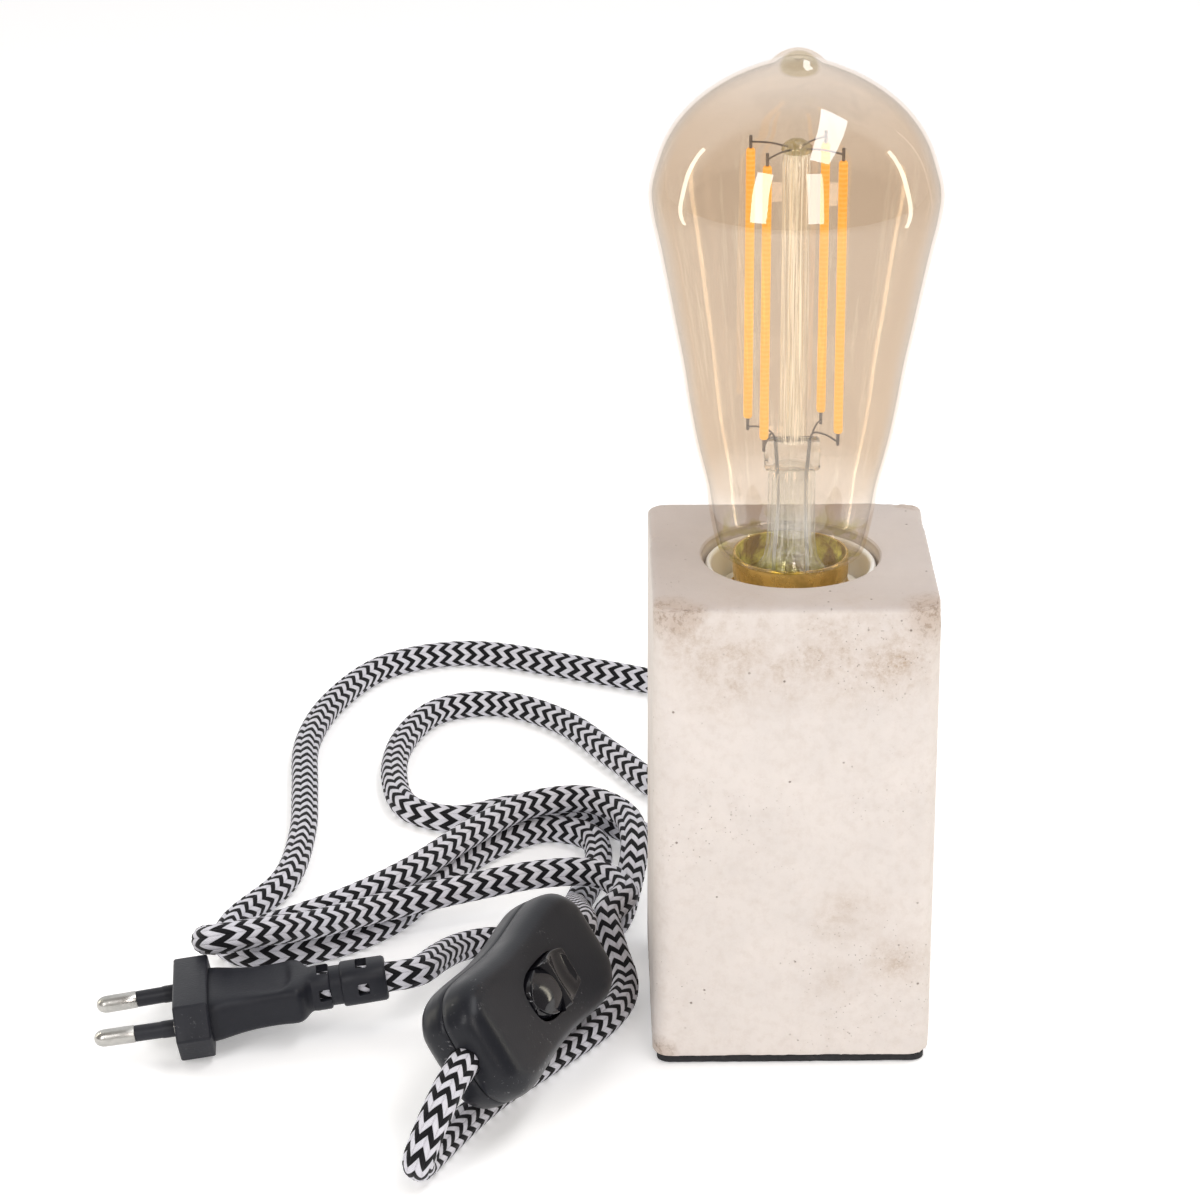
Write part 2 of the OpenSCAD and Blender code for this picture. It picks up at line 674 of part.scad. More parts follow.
module plunger() {
    color([0.85, 0.8, 0.7]) on_pivot() {
        translate([0, 0, -5.7]) cylinder(r = 1.2, h = 2.9, $fn = 32);
        translate([0, 0, -5.7]) sphere(r = 1.2, $fn = 32);
        translate([0, 0, -4.2]) cylinder(r = 1.8, h = 0.8, $fn = 32);
    }
}

module rocker_spring() {
    coils = 7;
    step = 30;
    path = [
        for (k = [0 : coils * 360 / step])
            [1.5 * cos(k * step), 1.5 * sin(k * step), -3.2 + 4.6 * k * step / (coils * 360)]
    ];
    color([0.75, 0.75, 0.77]) on_pivot() tube(path, 0.2, 6);
}

module on_bar() {
    on_switch() translate([0, 0, bar_z]) rotate([0, -bar_tilt, 0]) children();
}

module contact_bar() {
    color([0.8, 0.66, 0.35]) on_bar() {
        difference() {
            union() {
                translate([-7, -2.5, 1]) cube([14, 5, 0.6]);
                for (y = [-1, 1]) translate([-1.4, y * 2.3 - 0.3, -1.2]) cube([2.8, 0.6, 2.4]);
            }
            translate([0, -4, 0]) rotate([-90, 0, 0]) cylinder(r = 0.75, h = 8, $fn = 32);
        }
        translate([6, 0, 0.2]) cylinder(r = 1.2, h = 0.8, $fn = 32);
    }
}

module contact_common() {
    color([0.8, 0.66, 0.35]) on_switch() difference() {
        union() {
            translate([-17, -2.6, -6.75]) cube([19, 5.2, 0.8]);
            translate([-1.2, -1.7, -6.75]) cube([2.4, 3.4, 4.2]);
            translate([0, -3, bar_z]) rotate([-90, 0, 0]) cylinder(r = 0.7, h = 6, $fn = 32);
            translate([-17, -3.2, -6.75]) cube([6, 6.4, 5.6]);
        }
        translate([-14, 0, -5]) cylinder(r = 1.3, h = 8, $fn = 32);
        translate([-20, 0, -3.4]) rotate([0, 90, 0]) cylinder(r = 0.9, h = 6, $fn = 32);
    }
}

module contact_fixed() {
    color([0.8, 0.66, 0.35]) on_switch() difference() {
        union() {
            translate([4.6, -2.6, -6.75]) cube([9, 5.2, 0.8]);
            translate([5.8, 0, -6]) cylinder(r = 1.4, h = 1.9, $fn = 32);
            translate([11, -3.2, -6.75]) cube([6, 6.4, 5.6]);
        }
        translate([14, 0, -5]) cylinder(r = 1.3, h = 8, $fn = 32);
        translate([14, 0, -3.4]) rotate([0, 90, 0]) cylinder(r = 0.9, h = 6, $fn = 32);
    }
}

module block_screws() {
    color([0.75, 0.75, 0.77]) on_switch() for (x = [-14, 14]) translate([x, 0, 0]) difference() {
        union() {
            translate([0, 0, -1.15]) cylinder(r = 2.4, h = 1.5, $fn = 32);
            translate([0, 0, -2.5]) cylinder(r = 1.3, h = 1.6, $fn = 32);
        }
        translate([-3, -0.4, -0.4]) cube([6, 0.8, 1]);
    }
}

module switch_live_in() {
    color([0.45, 0.28, 0.15]) on_switch()
        tube([[-24, -1, 0], [-23, -1, 0], [-21.8, -1, -0.9], [-20, -0.6, -2.6], [-17.6, 0, -3.4], [-15.4, 0, -3.4]], 0.85, 8);
}

module switch_live_out() {
    color([0.45, 0.28, 0.15]) on_switch()
        tube([[24, -1, 0], [23, -1, 0], [21.8, -1, -0.9], [20, -0.6, -2.6], [17.6, 0, -3.4], [15.4, 0, -3.4]], 0.85, 8);
}

module switch_neutral() {
    half = [[24, 1, 0], [23, 1, 0], [21.6, 1.4, -0.4], [19.6, 3.4, -1.8], [17.6, 7, -3], [13, 8.8, -3.8]];
    color([0.2, 0.35, 0.7]) on_switch() tube(concat(
        [for (q = half) [-q[0], q[1], q[2]]],
        [[0, 9.2, -4]],
        [for (k = [5 : -1 : 0]) half[k]]
    ), 0.85, 8);
}

// Bar that holds the cord down on its cradle
module cord_clamp(s) {
    on_switch() difference() {
        translate([s * 22.5 - 1.8, -8, 0.4]) cube([3.6, 16, 4.4]);
        cord_holes(cord_r);
        for (y = [-5.8, 5.8]) translate([s * 22.5, y, 0]) cylinder(r = 1.1, h = 8, $fn = 32);
    }
}

module clamp_near() {
    color([0.25, 0.25, 0.25]) cord_clamp(-1);
}

module clamp_far() {
    color([0.25, 0.25, 0.25]) cord_clamp(1);
}

module clamp_screws() {
    color([0.75, 0.75, 0.77]) on_switch() for (s = [-1, 1]) for (y = [-5.8, 5.8]) {
        translate([s * 22.5, y, -4.6]) cylinder(r = 1.1, h = 9.5, $fn = 32);
        translate([s * 22.5, y, 4.8]) cylinder(r = 1.9, h = 1.2, $fn = 32);
    }
}

module on_plug() {
    translate(plug_pos) rotate(plug_rot) children();
}

// Place of a pin, toed in towards its tip
module on_pin(s) {
    on_plug() translate([0, s * pin_pitch / 2, 0]) rotate([0, 0, s * pin_toe]) rotate([0, -90, 0]) children();
}

// Corner discs of the plug's body at distance x
module body_section(x, w, h) {
    r = h * 0.42;
    for (s = [-1, 1]) for (t = [-1, 1]) {
        translate([x, s * (w / 2 - r), t * (h / 2 - r)]) rotate([0, 90, 0]) cylinder(r = r, h = 0.1, $fn = 32);
    }
}

module relief_section(x0, x1, r) {
    translate([x0, 0, 0]) rotate([0, 90, 0]) cylinder(r = r, h = x1 - x0, $fn = 48);
}

module plug_body() {
    color([0.06, 0.06, 0.07]) on_plug() difference() {
        union() {
            rotate([90, 0, 90]) linear_extrude(collar_l) polygon([
                [-collar_w / 2, 0], [-13.05, -collar_h / 2], [13.05, -collar_h / 2],
                [collar_w / 2, 0], [13.05, collar_h / 2], [-13.05, collar_h / 2]
            ]);
            hull() {
                body_section(collar_l - 0.2, 23, 10.8);
                body_section(13, 20, 10.2);
            }
            hull() {
                body_section(13, 20, 10.2);
                body_section(18, 18, 9.6);
            }
            hull() {
                body_section(18, 18, 9.6);
                body_section(24, 17.8, 9.4);
            }
            hull() {
                body_section(24, 17.8, 9.4);
                body_section(28, 18.4, 9.6);
            }
            hull() {
                body_section(28, 18.4, 9.6);
                body_section(31, 10, 9);
            }
            relief_section(30, plug_end, cord_r + 0.9);
            relief_section(31, 35.6, cord_r + 1.4);
            relief_section(38.4, plug_end, cord_r + 1.4);
        }
        relief_section(31.8, plug_end + 1, cord_r + 0.05);
        for (x = [33, 42]) translate([x, -2.6, 0]) cube([2.6, 5.2, 8]);
        for (x = [33, 42]) translate([x, -8, -1.4]) cube([2.6, 16, 2.8]);
        for (s = [-1, 1]) on_pin_hole(s);
    }
}

// Pocket that holds the root of a pin
module on_pin_hole(s) {
    translate([0, s * pin_pitch / 2, 0]) rotate([0, 0, s * pin_toe]) rotate([0, -90, 0]) {
        translate([0, 0, -9]) cylinder(r = pin_d / 2, h = 20, $fn = 48);
    }
}

module pin(s) {
    color([0.82, 0.82, 0.84]) on_pin(s) {
        translate([0, 0, -9]) cylinder(r = pin_d / 2, h = 9.4, $fn = 48);
        translate([0, 0, -0.1]) cylinder(r = pin_d / 2 - 0.45, h = 9.8, $fn = 48);
        translate([0, 0, 9.6]) cylinder(r = pin_d / 2, h = pin_l - 11, $fn = 48);
        translate([0, 0, pin_l - 1.4]) cylinder(r1 = pin_d / 2, r2 = pin_d / 2 - 1.1, h = 1.4, $fn = 48);
    }
}

module pin_live() {
    pin(1);
}

module pin_neutral() {
    pin(-1);
}

module pin_sleeve(s) {
    color([0.08, 0.08, 0.09]) on_pin(s) {
        ring(pin_d / 2 - 0.45, pin_d / 2, 0.4, 9.6);
    }
}

module sleeve_live() {
    pin_sleeve(1);
}

module sleeve_neutral() {
    pin_sleeve(-1);
}

concrete_body();
base_pad();
cord_bush();
grip_lower();
grip_upper();
grip_screws();
shelf_washer();
lock_nut();
nipple();
inner_cord();
lead_live();
lead_neutral();
holder_dome();
holder_shell();
holder_insert();
screw_sleeve();
sleeve_rivets();
centre_contact();
contact_rivet();
terminal_live();
terminal_neutral();
terminal_screws();
glass_envelope();
glass_stem();
filament_1();
filament_2();
filament_3();
filament_4();
top_hub();
support_live();
support_neutral();
driver_board();
bulb_cap();
cap_insulator();
tip_contact();
cord_lamp();
switch_top();
switch_bottom();
shell_screws();
rocker();
plunger();
rocker_spring();
contact_bar();
contact_common();
contact_fixed();
block_screws();
switch_live_in();
switch_live_out();
switch_neutral();
clamp_near();
clamp_far();
clamp_screws();
cord_plug();
plug_body();
pin_live();
pin_neutral();
sleeve_live();
sleeve_neutral();
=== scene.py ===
"""Concrete table lamp: the looks of its pieces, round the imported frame."""

import json
import math

import bmesh
import bpy
from mathutils import Matrix, Vector, noise

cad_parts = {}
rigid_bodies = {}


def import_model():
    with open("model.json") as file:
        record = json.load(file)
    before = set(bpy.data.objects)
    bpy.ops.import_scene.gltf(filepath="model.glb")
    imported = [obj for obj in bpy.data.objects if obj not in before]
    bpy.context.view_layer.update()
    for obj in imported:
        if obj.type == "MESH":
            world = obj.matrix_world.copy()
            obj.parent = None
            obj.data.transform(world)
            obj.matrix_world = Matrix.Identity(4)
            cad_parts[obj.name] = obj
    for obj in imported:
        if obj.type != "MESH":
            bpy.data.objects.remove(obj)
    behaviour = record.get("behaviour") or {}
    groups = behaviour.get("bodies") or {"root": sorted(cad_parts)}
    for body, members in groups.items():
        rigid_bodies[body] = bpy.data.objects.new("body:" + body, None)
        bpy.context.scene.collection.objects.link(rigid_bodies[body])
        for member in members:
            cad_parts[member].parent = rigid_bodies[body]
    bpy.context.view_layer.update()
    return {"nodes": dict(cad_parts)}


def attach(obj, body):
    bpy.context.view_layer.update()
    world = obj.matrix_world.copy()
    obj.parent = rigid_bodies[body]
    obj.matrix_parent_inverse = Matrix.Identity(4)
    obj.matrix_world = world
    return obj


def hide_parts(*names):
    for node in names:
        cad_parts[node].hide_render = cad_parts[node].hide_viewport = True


bl_info = {
    "name": "Concrete table lamp",
    "version": (1, 0, 0),
    "blender": (4, 5, 0),
    "location": "3D View > Sidebar > Lamp",
    "description": "Builds a concrete table lamp with a filament bulb and a textile cord",
    "category": "Add Mesh",
}

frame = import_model()
MM = 0.001
TURN = 2 * math.pi
WELD = 1e-7  # points closer than this are one, in metres


# ---------------------------------------------------------------- places, in mm and degrees
def heading(yaw, pitch=0):
    """A unit vector from its two angles"""
    yaw, pitch = math.radians(yaw), math.radians(pitch)
    level = math.cos(pitch)
    return Vector((level * math.cos(yaw), level * math.sin(yaw), math.sin(pitch)))


SWITCH_AT = Vector((-61.5, -41, 22.6))
SWITCH_TURNS = (57, 0, 68)  # about X, Y and Z
SWITCH_HALF = 30.7
CORD_IN_SWITCH = 24  # how far from its middle the cords end inside
PLUG_AT = Vector((-140.7, -16.8, 7.4))
PLUG_TURNS = (-2.5, -7.0, 4.8)
PLUG_NECK = 48.7  # from the collar's face to the end of the strain relief
CORD_IN_PLUG = 32  # and to where the cord ends inside
CORD_EXIT = 14  # height of the rear hole
LOW = 3.5  # height of the cord's middle on the table
OVER = 10.8  # and where it crosses another run
RING = 11  # radius of the ring of filaments
FILAMENT_ANGLES = (52, 152, 232, 332)


def on_switch(along):
    """A point on the long axis of the switch"""
    return tuple(SWITCH_AT + along * heading(SWITCH_TURNS[2]))


def on_plug(along):
    """A point on the long axis of the plug"""
    return tuple(PLUG_AT + along * heading(PLUG_TURNS[2], -PLUG_TURNS[1]))


def on_ring(angle, height=0, reach=RING):
    """A point at an angle round the bulb's axis"""
    angle = math.radians(angle)
    return reach * math.cos(angle), reach * math.sin(angle), height


LAMP_ROUTE = [
    (0, 31.5, CORD_EXIT), (0, 43, CORD_EXIT), (-0.8, 54, 12.3), (-5, 65, 7.4), (-15, 73, 3.9),
    (-31, 80, LOW), (-45, 93, LOW), (-62, 98, LOW), (-79, 91, LOW), (-91, 97, LOW),
    (-96, 116, LOW), (-94, 141, LOW), (-85, 159, LOW), (-69, 163, LOW), (-52, 151, LOW),
    (-38, 128, LOW), (-24, 106, LOW), (-4, 97, LOW), (14, 105, LOW), (20, 126, LOW),
    (7, 153, LOW), (-18, 172, LOW), (-48, 187, LOW), (-78, 198, LOW), (-100, 190, LOW),
    (-114, 166, LOW), (-120, 138, LOW), (-119, 110, LOW), (-118, 84, LOW), (-121, 56, LOW),
    (-132, 33, LOW), (-132, 22, LOW), (-123, 17, LOW), (-108, 22, LOW), (-94, 34, LOW),
    (-84, 52, LOW), (-71, 74, LOW), (-56, 85, LOW), (-45, 80, LOW), (-43, 66, LOW),
    (-47.5, 46, LOW), (-49, 37, 4.8), (-49, 26.5, 10.9), (-49, 16, 15.2), (-47.4, 3, 20),
    (-47.5, -6.5, 22.4), on_switch(SWITCH_HALF), on_switch(CORD_IN_SWITCH),
]
PLUG_ROUTE = [
    on_switch(-CORD_IN_SWITCH), on_switch(-SWITCH_HALF),
    (-75.8, -76.4, 21.4), (-79.5, -84.5, 16.8), (-82.6, -87, 9.4), (-82.6, -82, 4.4),
    (-79, -73, LOW), (-68, -52, LOW), (-54, -33, LOW), (-41, -14, LOW), (-37.5, 0, 3.8),
    (-40, 11, 8), (-41.5, 21, 11.2), (-37, 31.5, 11.9), (-43, 41.5, 12.4), (-56, 43, 11.8),
    (-76, 37, OVER), (-96, 27, OVER), (-111, 13, 13.8), (-124, 1.5, 17.6), (-132, -1.5, 17.8),
    (-135.5, 4, 14.6), (-131, 11, 11.2), (-106, 29, OVER), (-89, 47, OVER), (-74, 69, OVER),
    (-60, 84, OVER), (-46, 87, OVER), (-36.5, 78, OVER), (-34, 64, 10), (-36, 48, 4.9),
    (-40, 31, LOW), (-50, 21.5, LOW), (-68, 23, 3.8), (-76, 16, 6), (-81, 4, 9.5),
    (-86, -9.5, 12.8), on_plug(PLUG_NECK), on_plug(CORD_IN_PLUG),
]
HELD_ROUTE = [
    (0, 31.5, CORD_EXIT), (0, 22, CORD_EXIT), (0, 11, CORD_EXIT), (0, 3.2, 17.2), (0, 0, 25),
    (0, 0, 40), (0, 0, 64),
]


# ---------------------------------------------------------------- sizes and colours
def length_setting(name, text, value):
    """A setting for a length, given in mm"""
    return bpy.props.FloatProperty(name=name, description=text, default=value * MM, unit="LENGTH")


def colour_setting(name, text, value):
    """A setting for a colour"""
    return bpy.props.FloatVectorProperty(
        name=name, description=text, default=value, subtype="COLOR", min=0, max=1
    )


class ConcreteSettings(bpy.types.PropertyGroup):
    """Sizes and colours of the cast foot"""

    width: length_setting("Width", "Width and depth of the block", 63)
    top: length_setting("Top", "Height of the top face", 113)
    corner: length_setting("Corner", "Radius of the upright corners", 4)
    cream: colour_setting("Cream", "Main colour of the faces", (0.72, 0.665, 0.625))
    stain: colour_setting("Stain", "Colour of the soft stains", (0.42, 0.31, 0.22))


class CordSettings(bpy.types.PropertyGroup):
    """Sizes and colours of the textile cord"""

    diameter: length_setting("Diameter", "Diameter over the braid", 7)
    row: length_setting("Row", "Length of one dark and one light row", 4)
    folds: bpy.props.IntProperty(
        name="Folds", description="Zigzags round the cord", default=6, min=4, max=10
    )
    dark: colour_setting("Dark yarn", "Colour of the dark yarn", (0.006, 0.006, 0.008))
    light: colour_setting("Light yarn", "Colour of the light yarn", (0.78, 0.78, 0.84))


class BulbSettings(bpy.types.PropertyGroup):
    """Sizes and colours of the bulb"""

    wall: length_setting("Wall", "Wall of the glass", 0.8)
    tint: colour_setting("Tint", "Colour that the coated glass lets through", (0.757, 0.650, 0.538))
    phosphor: colour_setting("Phosphor", "Colour of the filaments", (1.0, 0.56, 0.09))


class FittingSettings(bpy.types.PropertyGroup):
    """Sizes and colours of the switch and the plug"""

    black: colour_setting("Black", "Colour of the moulded shells", (0.010, 0.011, 0.015))
    gloss: colour_setting("Rocker black", "Colour of the polished rocker", (0.005, 0.005, 0.007))
    pin_radius: length_setting("Pin radius", "Radius of a pin", 2)


# ---------------------------------------------------------------- materials
def toned(colour, share, lift=0):
    """A colour made paler or darker"""
    return tuple(min(1, c * share + lift) for c in colour)


class Nodes:
    """A node tree, with short calls for the nodes that the finishes share"""

    def __init__(self, owner):
        owner.use_nodes = True
        self.nodes, self.links = owner.node_tree.nodes, owner.node_tree.links

    def feed(self, socket, value):
        """Links another node to a socket, or sets a constant on it"""
        if isinstance(value, bpy.types.NodeSocket):
            self.links.new(value, socket)
        elif value is not None:
            socket.default_value = value

    def add(self, kind, values=None, **settings):
        made = self.nodes.new(kind)
        for key, value in settings.items():
            setattr(made, key, value)
        for key, value in (values or {}).items():
            self.feed(made.inputs[key], value)
        return made

    def place(self):
        return self.add("ShaderNodeTexCoord").outputs["Object"]

    def split(self, vector=None):
        return self.add("ShaderNodeSeparateXYZ", {"Vector": vector or self.place()}).outputs

    def away(self, centre):
        """Distance from a point of the piece"""
        ends = {0: self.place(), 1: centre}
        return self.add("ShaderNodeVectorMath", ends, operation="DISTANCE").outputs["Value"]

    def facing(self):
        """0 where the surface faces the eye, 1 at its outline"""
        return self.add("ShaderNodeLayerWeight", {"Blend": 0.5}).outputs["Facing"]

    def mapped(self, scale=(1, 1, 1), rotation=(0, 0, 0)):
        values = {"Vector": self.place(), "Scale": scale, "Rotation": rotation}
        return self.add("ShaderNodeMapping", values).outputs[0]

    def cloud(self, scale, detail=3.0, rough=0.55, vector=None, distortion=0.0):
        values = {
            "Vector": vector or self.place(), "Scale": scale, "Detail": detail,
            "Roughness": rough, "Distortion": distortion,
        }
        return self.add("ShaderNodeTexNoise", values).outputs[0]

    def cells(self, scale, feature="F1"):
        values = {"Vector": self.place(), "Scale": scale}
        return self.add("ShaderNodeTexVoronoi", values, feature=feature).outputs["Distance"]

    def ramp(self, value, *stops, smooth="LINEAR"):
        made = self.add("ShaderNodeValToRGB", {"Fac": value})
        band = made.color_ramp
        band.interpolation = smooth
        while len(band.elements) > 1:
            band.elements.remove(band.elements[-1])
        for i, (at, shade) in enumerate(stops):
            stop = band.elements[0] if i == 0 else band.elements.new(at)
            stop.position = at
            stop.color = (*(shade if isinstance(shade, tuple) else (shade,) * 3), 1)
        return made.outputs[0]

    def math(self, operation, a, b=None, c=None, clamp=False):
        made = self.add("ShaderNodeMath", operation=operation, use_clamp=clamp)
        for socket, value in zip(made.inputs, (a, b, c)):
            self.feed(socket, value)
        return made.outputs[0]

    def times(self, a, b):
        return self.math("MULTIPLY", a, b)

    def times_add(self, value, rise, start):
        return self.math("MULTIPLY_ADD", value, rise, start)

    def share(self, value, rise, start):
        """A rising or falling value, kept between 0 and 1"""
        return self.math("MULTIPLY_ADD", value, rise, start, clamp=True)

    def near(self, spots):
        """Fades from each spot's strength at its centre to 0 at its radius"""
        most = None
        for centre, radius, strength in spots:
            here = self.share(self.away(centre), -strength / radius, strength)
            most = here if most is None else self.math("MAXIMUM", most, here)
        return most

    def mix(self, share, a, b):
        made = self.add("ShaderNodeMix", {0: share}, data_type="RGBA")
        for socket, value in zip(made.inputs[6:8], (a, b)):
            linked = isinstance(value, bpy.types.NodeSocket)
            self.feed(socket, value if linked else (*tuple(value)[:3], 1))
        return made.outputs[2]

    def over(self, share, under, shader):
        """One shader over another by a share"""
        return self.add("ShaderNodeMixShader", {0: share, 1: under, 2: shader}).outputs[0]

    def glass(self, share, tint, mirror_colour, rough, normal=None):
        """A see-through tint under a mirror"""
        through = self.add("ShaderNodeBsdfTransparent", {"Color": tint})
        mirror = self.add(
            "ShaderNodeBsdfAnisotropic",
            {"Color": (*mirror_colour, 1), "Roughness": rough, "Normal": normal},
        )
        return self.over(share, through.outputs[0], mirror.outputs[0])

    def bump(self, height, depth, strength=1.0):
        values = {"Height": height, "Distance": depth, "Strength": strength}
        return self.add("ShaderNodeBump", values).outputs[0]


class Paint(Nodes):
    """A material and its node tree"""

    def __init__(self, name, bare=False):
        self.mat = bpy.data.materials.new(name)
        super().__init__(self.mat)
        self.shader = self.nodes["Principled BSDF"]
        if bare:
            self.nodes.remove(self.shader)

    def set(self, **values):
        for key, value in values.items():
            self.feed(self.shader.inputs[key.replace("_", " ")], value)

    def show(self, shader):
        """Sends a shader to the material's surface, and gives the material"""
        self.links.new(shader, self.nodes["Material Output"].inputs["Surface"])
        return self.mat


# centre, radius and strength of each soft stain and of each patch of crumbs, in metres
STAINS = (
    ((-0.014, -0.0315, 0.1010), 0.018, 0.80), ((-0.004, -0.0315, 0.0980), 0.012, 0.70),
    ((0.010, -0.0315, 0.1020), 0.017, 0.80), ((0.021, -0.0315, 0.0990), 0.012, 0.90),
    ((-0.024, -0.0315, 0.1080), 0.010, 0.9), ((0.024, -0.0315, 0.1040), 0.012, 0.6),
    ((0.0295, -0.0315, 0.1085), 0.008, 1.0), ((0.013, -0.0315, 0.0385), 0.011, 0.55),
    ((0.0235, -0.0315, 0.0260), 0.010, 0.6), ((0.010, -0.0315, 0.0215), 0.007, 0.4),
    ((0.0, 0.0315, 0.070), 0.022, 0.5), ((-0.0315, 0.008, 0.050), 0.020, 0.45),
    ((0.0315, 0.004, 0.082), 0.022, 0.5),
)
CRUMBS = (
    ((-0.0285, -0.0315, 0.1120), 0.0080, 1.6), ((-0.0235, -0.0315, 0.1120), 0.0045, 1.6),
    ((0.0295, -0.0300, 0.1110), 0.0080, 1.6), ((-0.0300, -0.0310, 0.0030), 0.0050, 1.6),
    ((0.0300, 0.0300, 0.1115), 0.0050, 1.6),
)


def concrete_paint(sizes):
    """Cast concrete: cream faces, a top painted greyer as painted shade, soft brown stains,
    pinholes painted dark as painted shade, and crumbs
    """
    p = Paint("concrete")
    broad = p.cloud(38, 5, 0.62)
    fine = p.cloud(420, 4, 0.7)
    grain = p.cloud(1900, 2, 0.6)
    base = p.mix(p.ramp(broad, (0.3, 0), (0.72, 1)), sizes.cream, toned(sizes.cream, 0.93))
    base = p.mix(p.ramp(p.cloud(120, 5, 0.7), (0.35, 0), (0.8, 0.5)), base, (0.79, 0.725, 0.675))
    base = p.mix(p.ramp(fine, (0.46, 0), (0.8, 0.4)), base, (0.56, 0.48, 0.42))
    # the top face is painted greyer and a little mauve: painted shade, as it gets less light than
    # the front
    up = p.math("SUBTRACT", p.split()[2], sizes.top - 0.0016)
    top = p.ramp(p.math("MULTIPLY", up, 900, clamp=True), (0, 0), (1, 1))
    grey = p.mix(p.ramp(broad, (0.3, 0), (0.7, 1)), (0.595, 0.540, 0.510), (0.53, 0.475, 0.445))
    base = p.mix(top, base, grey)
    # soft stains, most of them below the top edge and low on the right
    speckle = p.times(
        p.ramp(p.cloud(95, 6, 0.76, distortion=0.4), (0.40, 0), (0.64, 1)),
        p.ramp(p.cloud(650, 4, 0.78), (0.38, 0.15), (0.60, 1.25)),
    )
    base = p.mix(p.times(p.near(STAINS), p.times_add(speckle, 0.8, 0.2)), base, sizes.stain)
    # crumbs on the worn corners: a pale bed and brown grains
    crumb = p.ramp(p.cloud(620, 5, 0.75), (0.50, 0), (0.60, 1))
    crumbs = p.near(CRUMBS)
    base = p.mix(p.times(crumbs, 0.55), base, (0.50, 0.40, 0.33))
    base = p.mix(p.times(p.times(crumbs, crumb), 0.7), base, (0.33, 0.25, 0.19))
    # pinholes, a few wide and more tiny, sunk by the bump and painted dark: painted shade inside
    # the holes
    hole, tiny = (
        p.times(
            p.ramp(p.cells(size), (inner, 1), (outer, 0)),
            p.ramp(p.cloud(patch, detail), (0.50, 0), (full, 1)),
        )
        for size, inner, outer, patch, detail, full in (
            (260, 0.045, 0.085, 60, 2, 0.60), (900, 0.06, 0.13, 33, 3, 0.62),
        )
    )
    holes = p.math("MAXIMUM", hole, tiny)
    base = p.mix(p.times(holes, 0.75), base, (0.20, 0.15, 0.12))
    p.set(Base_Color=base, Specular_IOR_Level=0.25)
    p.set(Roughness=p.ramp(fine, (0.3, 0.82), (0.8, 0.96)))
    height = p.times_add(holes, -1.0, p.times_add(grain, 0.25, p.times(fine, 0.5)))
    p.set(Normal=p.bump(height, 0.00028, 0.85))
    return p.mat


def rubber_paint():
    """Dull black foam rubber, dusty at its edge"""
    p = Paint("pad_rubber")
    fine = p.cloud(900, 4, 0.7)
    dust = p.ramp(p.cloud(150, 5, 0.7), (0.55, 0), (0.75, 0.35))
    p.set(Base_Color=p.mix(dust, (0.018, 0.018, 0.020), (0.16, 0.14, 0.13)))
    p.set(Roughness=p.ramp(fine, (0.3, 0.75), (0.7, 0.95)), Normal=p.bump(fine, 0.0002))
    return p.mat


def moulded_paint(name, colour, rough, grain=2200, depth=0.00003, wear=0.0, spec=0.5):
    """Moulded plastic with a fine spark texture, and small scuffs where it is worn"""
    p = Paint(name)
    patches = p.cloud(90, 4, 0.6)
    tone = p.mix(p.ramp(patches, (0.35, 0), (0.75, 0.6)), colour, toned(colour, 1.35, 0.003))
    if wear:
        nicks = p.cloud(700, 5, 0.75, p.mapped(rotation=(0.3, 0.5, 0.9)))
        worn = p.ramp(p.cloud(60, 2, 0.5), (0.53, 0), (0.64, 1))
        scuff = p.times(p.ramp(nicks, (0.60, 0), (0.70, 1)), worn)
        tone = p.mix(p.times(scuff, wear), tone, (0.30, 0.30, 0.31))
    p.set(Base_Color=tone, Specular_IOR_Level=spec)
    p.set(Roughness=p.ramp(patches, (0.3, max(0, rough - 0.06)), (0.75, min(1, rough + 0.08))))
    p.set(Normal=p.bump(p.cloud(grain, 2, 0.5), depth, 0.7))
    return p.mat


def metal_paint(name, colour, rough, tarnish=None, lines=(1, 1, 6), depth=0.00002):
    """Turned or pressed metal with faint machining lines and dull patches"""
    p = Paint(name)
    dull = p.ramp(p.cloud(260, 4, 0.65), (0.4, 0), (0.72, 1))
    tone = p.mix(p.times(dull, 0.7), colour, tarnish or toned(colour, 0.62))
    p.set(Base_Color=tone, Metallic=1.0)
    p.set(Roughness=p.ramp(dull, (0, rough), (1, min(1, rough + 0.18))))
    p.set(Normal=p.bump(p.cloud(700, 3, 0.6, p.mapped(lines)), depth, 0.6))
    return p.mat


